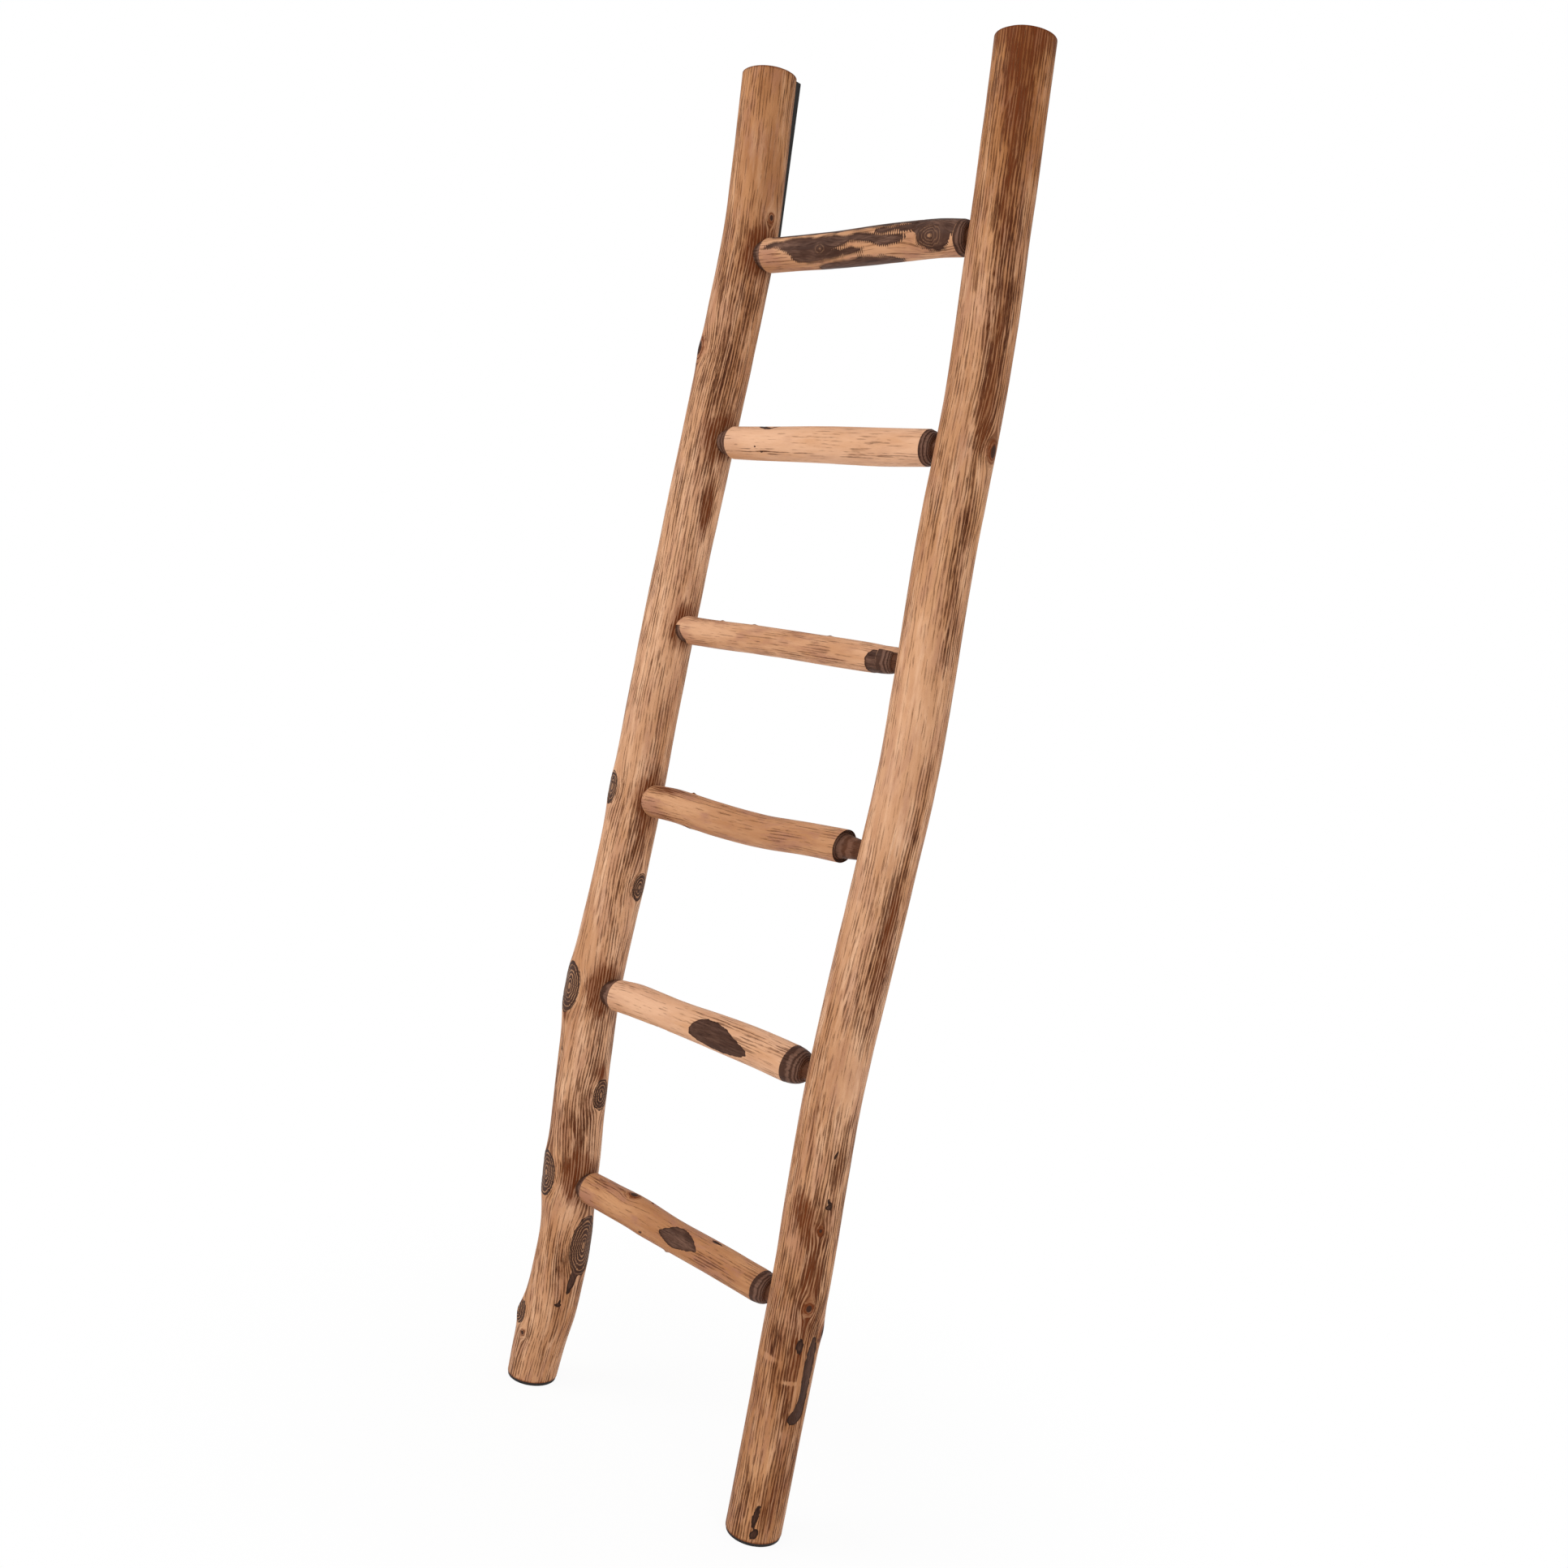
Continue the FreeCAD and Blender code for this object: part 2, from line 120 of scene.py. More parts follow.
# A rail's rings are level at its foot and square to its line from this height above it, and the
# line's direction is taken between points this far below and above.
LEVEL_FOOT = 40.0
AXIS_STEP = 2.0

# Spacing of a shoulder's rings, the length that its whole drop counts for, and its least rings.
PROFILE_STEP = 0.8
PROFILE_DROP = 9.0
LEAST_RINGS = 8

# Map of the skin: the room round its strips and past their end, the small discs of the two end
# faces, how far along they lie and how far below the far edge; and the sharpest edge shaded smooth.
MAP_MARGIN = 3.0
MAP_END_ROOM = 10.0
MAP_DISC_RADIUS = 2.0
MAP_DISCS_AT = (4.0, 12.0)
MAP_DISC_DROP = 4.0
SHARP_ANGLE = 50.0

# Slow swellings of a log: (lumps to its radius, mm along it to a lump, swelling in mm)
LUMPS = ((0.8, 85.0, 0.75), (1.9, 30.0, 0.22))

# Drift of the grain: mm to a swing along the log, and the swing as a turn.
WANDER_PITCH = 160.0
WANDER_TURN = 0.05

# Flats of the peeling knife: how many, their least and most half length and depth, how far their
# plane is lifted off the even log, and the cosine of the turn at which they end.
RAIL_FLATS = 90
RUNG_FLATS = 26
PEEL_HALF_LENGTHS = (35.0, 120.0)
PEEL_DEPTHS = (0.10, 0.34)
PEEL_LIFT = 0.15
PEEL_SIDE = 0.7

# How far outside any cut the wood counts as at first, and how far from any knot.
UNCUT = -20.0
NO_KNOT = 9.0

# In shares of a mark's own half sizes: over how far a ground knot's swelling fades, and that of
# a knot that only shows its rings; where such rings begin and are whole; and the same of scars.
KNOT_SWELL = 1.25
EYE_SWELL = 0.8
EYE_EDGE = (1.15, 0.85)
SCAR_EDGE = (1.05, 0.55)

# The grain parts round this share of a knot's half width, and this much longer than wide.
PARTING_CORE = 0.9
PARTING_STRETCH = 1.6

# Stain round a knot: its strength, and in shares of the knot's half sizes where it starts to
# fade, how fast and where it ends; and the stain in the holes.
HALO_STAIN = 0.55
HALO_EDGE = 0.75
HALO_FADE = 0.16
HALO_END = 3.0
HOLE_STAIN = 1.5

# Weathering round each mortise: (mm above it, degrees round from it, then as in the tables)
JOINT_HALO = (6.0, -10.0, 34, 27, 0.7, 1.4)

# Depth of a dark patch, and the width of its slope.
PATCH_SINK = 0.5
PATCH_SLOPE = 1.5

# A drying check's half width at its tips and how much wider it is between them; how fast it
# opens from a tip, over its height; where its upper tip would be, as a share of its height, since
# it ends open; and how it wavers: (mm to the side, mm of height to a radian).
CHECK_WIDTH = 0.15
CHECK_SWELL = 0.35
CHECK_TAPER = 4.0
CHECK_UPPER_TIP = 1.2
CHECK_WAVES = ((0.25, 7.0), (0.2, 2.9))

# First rung's seed for the random draws, and how far the seeds of the rungs are apart.
RUNG_SEED = 101
RUNG_SEED_STEP = 7

# ----------------------------------------------------------------------------- the finishes' waves
# Rings of a knot and teeth of a chattering blade, in radians to a metre, and marks of the turning
# tool, in radians over a shoulder's drop.
RING_WAVE = 1800.0
CHATTER_WAVE = 2150.0
TURNING_WAVE = 34.0

# How far apart two flutes lie in the noise that gives each its own streaks.
FLUTE_APART = 5.73

# Heights of the fine relief, in metres.
GRAIN_RELIEF = 0.0008
PEBBLE_RELIEF = 0.0003
SCRATCH_RELIEF = 0.00008

# What the wood of the rails and of the rungs differs in, as LogShader names it.
RAIL_FINISH = dict(flutes=58.0, sawn=0.8, bloom=0.2, baldness=0.6)
RUNG_FINISH = dict(flutes=35.0, sawn=0.0, bloom=0.5, baldness=0.1)

# --------------------------------------------------------------------------- the studio, in metres
FLOOR_HALF = 12.0
LAMP_SIZE = 2.4
LAMP_AIM = (0.0, 0.0, 0.9)
SENSOR = 36.0

# ----------------------------------------------------------------------------------- the two rails
# (share of the rail's length, sideways bow, backward bow, extra radius)
LEFT_BOW = np.array([
    (0.000, -2.0, 0.0, -1.5), (0.030, 1.0, 0.5, 0.5), (0.055, 6.5, 2.0, 1.7),
    (0.085, 9.5, 3.5, 0.8), (0.115, 9.0, 4.0, 0.0), (0.145, 3.5, 3.5, 0.5),
    (0.175, 1.0, 1.5, 1.0), (0.220, -6.0, -1.0, 0.3), (0.265, -10.0, -4.0, 0.5),
    (0.305, -12.3, -6.0, 1.0), (0.350, -8.8, -6.0, 0.7), (0.405, -3.5, -4.5, 0.3),
    (0.470, -2.0, -3.0, 0.5), (0.550, -2.5, -1.5, 0.0), (0.635, -1.0, 1.0, 0.0),
    (0.710, 4.0, 2.0, 0.2), (0.775, 8.0, 3.0, 0.7), (0.840, 12.0, 3.5, 0.5),
    (0.885, 14.0, 3.0, 0.3), (0.930, 9.0, 2.0, 0.0), (0.965, 3.5, 1.0, 0.0),
    (1.000, -2.0, 0.0, 0.0)])
RIGHT_BOW = np.array([
    (0.000, 1.5, 0.0, -1.0), (0.065, 0.7, 0.5, -1.2), (0.125, -0.5, 1.5, -0.4),
    (0.180, -2.0, 2.5, -0.3), (0.235, -6.0, 3.0, 0.0), (0.295, -9.0, 3.0, -0.3),
    (0.350, -6.0, 2.0, 0.0), (0.405, 0.0, 0.5, 0.3), (0.460, 7.5, -2.0, 0.0),
    (0.505, 12.0, -3.5, 0.0), (0.540, 13.5, -4.0, -0.3), (0.585, 10.5, -3.5, -0.3),
    (0.635, 5.5, -2.5, -0.3), (0.685, 1.5, -1.0, -0.2), (0.765, 0.5, 1.0, -0.2),
    (0.815, -4.0, 1.5, 0.0), (0.865, -10.5, 1.5, 0.0), (0.910, -15.5, 1.0, 0.0),
    (0.950, -21.0, 0.5, 0.0), (1.000, -28.0, 0.0, 0.5)])

# Knots: (share of the length, turn, half length, half width, rise, ground depth, darkness).
# A darkness of 1 is ground flat and stained dark all over, 0 only shows its rings.
LEFT_KNOTS = [
    (0.049, -34, 24, 17, 6.5, 1.0, 0.0), (0.037, 0, 7, 7, 0.5, 0.0, 0.0),
    (0.112, 99, 40, 24, 3.0, 4.0, 1.0),
    (0.165, -16, 33, 19, 8.0, 5.0, 1.0), (0.2295, 98, 23, 14, 3.5, 2.0, 1.0),
    (0.310, -13, 36, 20, 8.0, 5.0, 1.0), (0.395, 101, 20, 13, 2.0, 1.5, 1.0),
    (0.465, -20, 24, 13, 4.0, 3.0, 1.0), (0.796, -25, 24, 15, 4.0, 1.0, 0.0),
    (0.620, 200, 26, 16, 4.5, 4.0, 1.0), (0.895, 86, 9, 8, 0.6, 0.0, 0.0)]
RIGHT_KNOTS = [
    (0.146, 118, 20, 14, 3.0, 1.0, 0.0), (0.165, 62, 11, 9, 2.0, 0.5, 0.0),
    (0.2175, 59, 6, 5, 0.3, 0.0, 0.0),
    (0.738, 96, 20, 13, 3.0, 1.0, 0.0), (0.430, 215, 26, 16, 4.5, 4.0, 1.0)]

# Dark cuts and scars: (height, turn, half length, half width, lean, sink).  A lean is how far
# the mark drifts round the log for each millimetre up it, and a sink below 0 leaves a place bare.
LEFT_SCARS = [
    (95.0, -22, 17, 10, 0.0, 0.8), (168.0, 82, 25, 6, 0.15, 0.8), (129.0, 61, 6, 1.6, 0.4, 0.6),
    (127.0, 61, 1.6, 6, 0.0, 0.6), (481.0, -14, 5, 1.4, 0.0, 0.5)]
RIGHT_SCARS = [
    (257.0, 59, 10, 4.5, 0.0, 0.8), (434.0, 70, 7, 2.6, -0.4, 0.8), (430.0, 68, 3, 4.5, 0.0, 0.6),
    (495.0, 66, 5, 1.8, 0.3, 0.5), (38.0, 37, 15, 4, 0.1, 0.4), (16.0, 40, 7, 5, 0.3, 0.4)]

# A patch is a list of (height, lowest turn, highest turn) and lies a little sunken.
RIGHT_PATCHES = [[(157, 68, 82), (163, 62, 95), (168, 63, 100), (178, 73, 101), (193, 80, 102),
                  (215, 77, 103), (236, 77, 103), (252, 80, 101), (268, 84, 93)]]

# Weathering: (height, turn, half length, half width, streaks, stain)
LEFT_WEATHER = [
    (1790, 50, 50, 30, -0.2, 0.1), (1700, 40, 90, 40, -0.5, 0.0), (1565, 35, 60, 22, 0.9, 0.3),
    (1425, 45, 90, 15, 1.0, 0.3), (1300, 55, 70, 14, 0.8, 0.2), (1246, 78, 42, 9, 1.0, 1.3),
    (1120, 60, 80, 40, -0.3, 0.0), (930, 70, 90, 40, -0.2, 0.0), (790, 76, 70, 13, 0.9, 0.5),
    (640, 10, 90, 18, -0.7, 0.0), (578, 56, 34, 15, 0.4, 1.2), (500, 68, 60, 10, 0.7, 0.2),
    (520, 25, 50, 16, -0.6, 0.0), (375, 38, 55, 24, 1.2, 0.5), (262, 30, 30, 30, -0.9, 0.0),
    (306, 56, 30, 16, 0.8, 1.1), (190, 45, 48, 18, 0.9, 0.2), (60, 50, 60, 30, -0.1, 0.0),
    (533, -10, 14, 7, 0.8, 1.1), (400, -24, 90, 6, 1.2, 0.7), (455, 92, 14, 11, 0.8, 1.0)]
RIGHT_WEATHER = [
    (1824, 40, 16, 90, 0.8, 1.0), (1795, 36, 60, 24, 1.5, 1.1),
    (1700, 36, 90, 18, 1.3, 0.7), (1600, 43, 90, 13, 1.2, 0.3),
    (1505, 52, 70, 15, 1.2, 0.3), (1440, 62, 80, 14, 1.2, 0.5), (1385, 62, 34, 10, 1.0, 0.9),
    (1650, 0, 160, 22, -0.3, 0.0), (1420, 20, 110, 20, -0.6, 0.0), (1255, 62, 90, 13, 1.0, 0.3),
    (1120, 20, 110, 30, -0.9, 0.0), (1130, 72, 80, 9, 0.9, 0.2), (955, 30, 100, 30, -1.0, 0.0),
    (905, 76, 60, 9, 0.8, 0.2), (792, 69, 52, 8, 1.7, 1.1), (705, 77, 70, 13, 1.3, 0.6),
    (760, 10, 90, 24, -0.2, 0.0), (605, 60, 46, 18, -1.2, 0.0), (478, 72, 36, 14, 0.7, 0.5),
    (428, 8, 22, 12, 0.8, 1.0), (408, 36, 34, 16, 1.0, 0.8), (340, 60, 50, 18, 1.3, 0.7),
    (556, 14, 28, 11, -0.4, 0.6), (380, 3, 6, 8, -1.5, -0.8), (320, 10, 60, 20, 0.4, 0.1),
    (235, 60, 80, 18, 1.3, 0.8), (250, 15, 80, 20, 0.4, 0.1), (210, 70, 40, 2.2, -3.0, -1.5),
    (234, -4, 2.5, 12, -4.0, -2.0), (210, 53, 2.0, 9, -4.0, -2.0),
    (60, 55, 50, 26, 0.4, 0.6), (135, 40, 40, 30, -0.3, 0.0)]


# Drying checks: (lowest height, highest height, turn, depth)
LEFT_CHECKS = [(1768, 1829, 83, 2.0), (476, 545, 76, 1.0)]
RIGHT_CHECKS = [(1000, 1050, 74, 1.5)]

# How pale (0) or red-brown (1) a rail is: (height, tone)
LEFT_TONES = np.array([(0.0, 0.55), (300.0, 0.34), (500.0, 0.24), (960.0, 0.30), (1250.0, 0.35),
                       (1450.0, 0.45), (1650.0, 0.75), (1830.0, 0.85)])
RIGHT_TONES = np.array([(0.0, 0.78), (330.0, 0.60), (620.0, 0.31), (950.0, 0.28), (1250.0, 0.66),
                        (1500.0, 0.52), (1700.0, 0.95), (1830.0, 1.0)])

# Both rails by the side that they stand on, each with its own seed for the random draws.
RAILS = {
    -1: dict(seed=11, bow=LEFT_BOW, knots=LEFT_KNOTS, scars=LEFT_SCARS, patches=[],
             weather=LEFT_WEATHER, checks=LEFT_CHECKS, tones=LEFT_TONES),
    +1: dict(seed=47, bow=RIGHT_BOW, knots=RIGHT_KNOTS, scars=RIGHT_SCARS, patches=RIGHT_PATCHES,
             weather=RIGHT_WEATHER, checks=RIGHT_CHECKS, tones=RIGHT_TONES),
}

# ----------------------------------------------------------------------------------- the six rungs
# Profiles from a rung's full width down to its tenon: (share of the neck, share of the drop).
# One that ends above 0 stops against the rail like a collar.
DOME = [(0.0, 1.0), (0.02, 0.97), (0.14, 0.94), (0.28, 0.88), (0.40, 0.79), (0.51, 0.66),
        (0.60, 0.50), (0.66, 0.32), (0.69, 0.14), (0.70, 0.0), (1.0, 0.0)]
STEPPED = [(0.0, 1.0), (0.02, 0.96), (0.26, 0.84), (0.28, 0.74), (0.34, 0.72), (0.48, 0.62),
           (0.58, 0.46), (0.64, 0.26), (0.67, 0.0), (1.0, 0.0)]
SCOOPED = [(0.0, 1.0), (-0.03, 0.94), (-0.10, 0.82), (-0.13, 0.68), (-0.11, 0.56), (-0.02, 0.46),
           (0.0, 0.36), (0.3, 0.2), (0.62, 0.06), (0.8, 0.0), (1.0, 0.0)]
CONE = [(0.0, 1.0), (0.03, 0.93), (0.20, 0.84), (0.23, 0.76), (0.60, 0.56), (1.0, 0.38)]
COLLAR = [(0.0, 1.0), (0.03, 0.95), (0.14, 0.86), (0.60, 0.79), (1.0, 0.72)]

# Lowest rung first.  A pair is for the left end and the right: shifts are mm above the even
# spacing, necks are mm from shoulder to rail, ends are profiles, tilts are how far the rim leans
# in mm and the turn that it leans to, and bare holds the lowest and highest turn of a shoulder
# that was left in the round, or None.  Arch points are (share, rise, push back, extra radius).
# Marks are (share, turn, ...) and otherwise as on the rails, and so are the patches.  The tone
# goes from 0, pale, to 1, red-brown; bark below 0 takes streaks away; chatter gives the patches
# the toothed edges of a chattering blade.
RUNGS = [
    dict(shifts=(1.0, -3.0), diameters=(43.0, 42.0), necks=(6.0, 25.0), ends=(COLLAR, DOME),
         tilts=((0.0, 0), (1.5, 120)), tone=0.68, bark=-1.1,
         arch=[(0.12, 0.5, 0.0, 0.5), (0.3, 2.0, -1.0, 1.5), (0.5, 0.0, 0.0, 0.3),
               (0.75, 0.0, 1.0, 0.3)],
         knots=[(0.27, 80, 16, 10, 2.5, 0.5, 0.0), (0.35, -88, 16, 11, 2.0, 0.5, 0.0),
                (0.36, 98, 3, 3, 1.8, 0.0, 0.0), (0.517, -62, 4, 3, 1.6, 0.0, 0.0)],
         scars=[(0.745, 88, 8, 2.4, 0.0, 0.8), (0.382, -30, 3, 1.6, 0.4, 0.4)],
         patches=[[(0.485, 10, 22), (0.51, 2, 37), (0.545, -12, 60), (0.58, -15, 68),
                   (0.62, -6, 62), (0.66, 4, 46), (0.695, 15, 22)]],
         weather=[(0.1, 60, 60, 30, 0.4, 0.5), (0.85, -10, 60, 20, 0.7, 0.1)]),
    dict(shifts=(16.0, 22.0), diameters=(44.0, 49.0), necks=(13.0, 36.0), ends=(COLLAR, DOME),
         tilts=((0.0, 0), (2.5, 100)), tone=-0.15, bark=-0.8,
         arch=[(0.12, 2.5, 0.0, 0.8), (0.35, 2.0, 1.0, -0.7), (0.6, 3.5, -2.0, 0.5),
               (0.82, 3.0, -1.0, 0.5)],
         knots=[],
         scars=[],
         patches=[[(0.50, -22, 2), (0.52, -27, 22), (0.55, -38, 40), (0.58, -43, 47),
                   (0.63, -49, 46), (0.69, -50, 36), (0.74, -44, 19), (0.79, -34, 5),
                   (0.82, -22, -6)],
                  [(0.19, -100, -70), (0.24, -108, -64), (0.29, -108, -58), (0.34, -95, -60)]],
         weather=[(0.82, 50, 60, 12, 0.8, 0.35), (0.66, 55, 50, 8, 0.6, 0.2)]),
    dict(shifts=(30.5, 46.5), diameters=(44.0, 43.0), necks=(4.0, 34.0), ends=(COLLAR, SCOOPED),
         bare=((-180, 180), None),
         tilts=((0.0, 0), (3.0, 90)), tone=0.52, bark=-1.0,
         arch=[(0.12, 0.0, 0.0, 0.5), (0.35, -5.0, 1.0, 0.7), (0.6, -6.0, 1.0, 0.2),
               (0.85, -1.5, 0.0, 0.0)],
         knots=[(0.199, 94, 3, 3, 2.0, 0.0, 0.0), (0.224, -72, 12, 6, 1.5, 0.5, 0.0)],
         scars=[],
         patches=[],
         weather=[(0.08, 60, 40, 14, 0.9, 0.8), (0.4, 60, 90, 12, 0.6, 0.4),
                  (0.12, -50, 40, 9, 0.8, 0.6)]),
    dict(shifts=(8.5, 18.5), diameters=(38.0, 35.0), necks=(4.0, 30.0), ends=(COLLAR, DOME),
         tilts=((3.0, -55), (0.0, 0)), tone=0.24, bark=-0.9, bare=((12, 240), (42, 130)),
         arch=[(0.15, 0.0, 0.0, 0.0), (0.4, 1.0, -1.0, 0.2), (0.7, 1.0, 0.0, 0.3),
               (0.9, 0.5, 0.0, 0.8)],
         knots=[(0.183, 86, 3, 3, 1.2, 0.0, 0.0), (0.358, 86, 4, 3, 1.0, 0.0, 0.0),
                (0.738, 86, 4, 3, 1.0, 0.0, 0.0)],
         scars=[],
         patches=[[(0.955, -62, -8), (0.962, -90, 14), (0.98, -120, 32), (1.05, -120, 44)],
                  [(-0.05, -118, 12), (0.005, -100, 0), (0.02, -70, -30), (0.03, -50, -45)]],
         weather=[(0.1, 80, 40, 20, 0.2, 0.5), (0.6, -40, 120, 9, 0.7, 0.5),
                  (0.6, 70, 120, 10, 0.4, 0.4)]),
    dict(shifts=(5.0, 17.0), diameters=(43.0, 45.0), necks=(16.0, 18.0), ends=(CONE, STEPPED),
         tilts=((0.0, 0), (1.0, 90)), tone=-0.5, bark=-1.0,
         arch=[(0.15, 0.0, 0.0, 0.6), (0.45, 0.5, -0.5, 1.0), (0.75, 0.0, 0.0, 0.8)],
         knots=[],
         scars=[(0.175, -22, 1.8, 1.5, 0.0, 0.5), (0.205, -40, 2.5, 1.4, 0.0, 0.4)],
         patches=[[(0.155, 60, 82), (0.18, 48, 74), (0.205, 42, 58), (0.23, 41, 52),
                   (0.245, 50, 62), (0.265, 64, 84)]],
         weather=[(0.30, -40, 70, 5, 1.7, 0.2), (0.72, -38, 45, 4, 1.8, 0.1),
                  (0.5, 80, 140, 6, 0.7, 0.3)]),
    dict(shifts=(-6.0, 9.0), diameters=(45.0, 44.0), necks=(8.0, 14.0), ends=(COLLAR, DOME),
         tilts=((0.0, 0), (2.0, 150)), tone=0.35, bark=-0.6, chatter=1.0,
         arch=[(0.15, 0.0, 0.0, 0.2), (0.4, -0.8, -1.0, 1.0), (0.65, 1.3, -1.0, 1.7),
               (0.88, 2.3, 0.0, 0.8)],
         knots=[(0.885, -10, 20, 15, 0.8, 0.8, 1.0), (0.34, -12, 9, 7, 0.3, 0.3, 0.0)],
         scars=[(0.26, -21, 9, 2.6, 0.15, -0.3)],
         patches=[[(0.03, 5, 12), (0.07, 4, 22), (0.12, -4, 28), (0.16, -22, 34), (0.20, -48, 37),
                   (0.25, -56, 36), (0.35, -52, 30), (0.40, -22, 27), (0.45, -8, 22),
                   (0.50, 0, 20), (0.55, -2, 19), (0.60, -8, 14), (0.65, -28, 9),
                   (0.70, -25, 5), (0.75, -20, 0), (0.78, -10, -6)],
                  [(0.33, -54, -10), (0.40, -47, -15), (0.45, -42, -18), (0.50, -38, -17),
                   (0.57, -28, -23)],
                  [(0.62, 12, 30), (0.65, 6, 33), (0.72, 17, 34), (0.80, 10, 42),
                   (0.82, 0, 60)],
                  [(0.30, -110, -70), (0.36, -115, -62), (0.45, -118, -57), (0.60, -115, -51),
                   (0.66, -112, -57), (0.70, -105, -68), (0.73, -95, -85)],
                  [(0.03, 50, 90), (0.10, 44, 110), (0.30, 46, 118), (0.50, 42, 118),
                   (0.65, 40, 115), (0.82, 34, 112)],
                  [(0.80, 8, 60), (0.83, -14, 100), (0.85, -38, 110), (0.88, -58, 112),
                   (0.92, -56, 112), (0.95, -46, 112), (0.97, -36, 112), (0.985, -12, 112),
                   (1.02, 8, 112)]],
         weather=[(0.9, 75, 40, 12, 0.3, 1.0)]),
]


# -------------------------------------------------------------------------------- curves and noise
def smooth_value(stations, share, column):
    """Values of one column at shares of the length, on a cubic through the stations."""
    places, values = stations[:, 0], stations[:, column]
    last = len(places) - 1
    low_at = np.maximum(np.arange(last + 1) - 1, 0)
    high_at = np.minimum(np.arange(last + 1) + 1, last)
    slopes = (values[high_at] - values[low_at]) / (places[high_at] - places[low_at])
    share = np.clip(share, places[0], places[-1])
    index = np.clip(np.searchsorted(places, share, side="right") - 1, 0, last - 1)
    span = places[index + 1] - places[index]
    part = (share - places[index]) / span
    return ((2 * part ** 3 - 3 * part ** 2 + 1) * values[index]
            + (part ** 3 - 2 * part ** 2 + part) * slopes[index] * span
            + (3 * part ** 2 - 2 * part ** 3) * values[index + 1]
            + (part ** 3 - part ** 2) * slopes[index + 1] * span)


def soft_step(value, low, high):
    """0 below low, 1 above high, smooth between."""
    part = np.clip((value - low) / (high - low), 0.0, 1.0)
    return part * part * (3.0 - 2.0 * part)


def lattice_noise(points, seed):
    """Smooth noise from -1 to 1 at each point, with one lump to a unit."""
    side = 32
    table = np.random.default_rng(seed).uniform(-1.0, 1.0, (side, side, side))
    cell = np.floor(points).astype(int)
    part = points - cell
    ease = part * part * (3.0 - 2.0 * part)
    total = 0.0
    for corner in np.ndindex(2, 2, 2):
        at = (cell + corner) % side
        weight = np.prod(np.where(np.array(corner) == 1, ease, 1.0 - ease), axis=-1)
        total = total + table[at[..., 0], at[..., 1], at[..., 2]] * weight
    return total


def unit(vectors):
    """Vectors at a length of one."""
    return vectors / np.linalg.norm(vectors, axis=-1, keepdims=True)


def wrapped(turns):
    """Turns in radians brought between minus and plus half a turn."""
    return (turns + math.pi) % FULL_TURN - math.pi


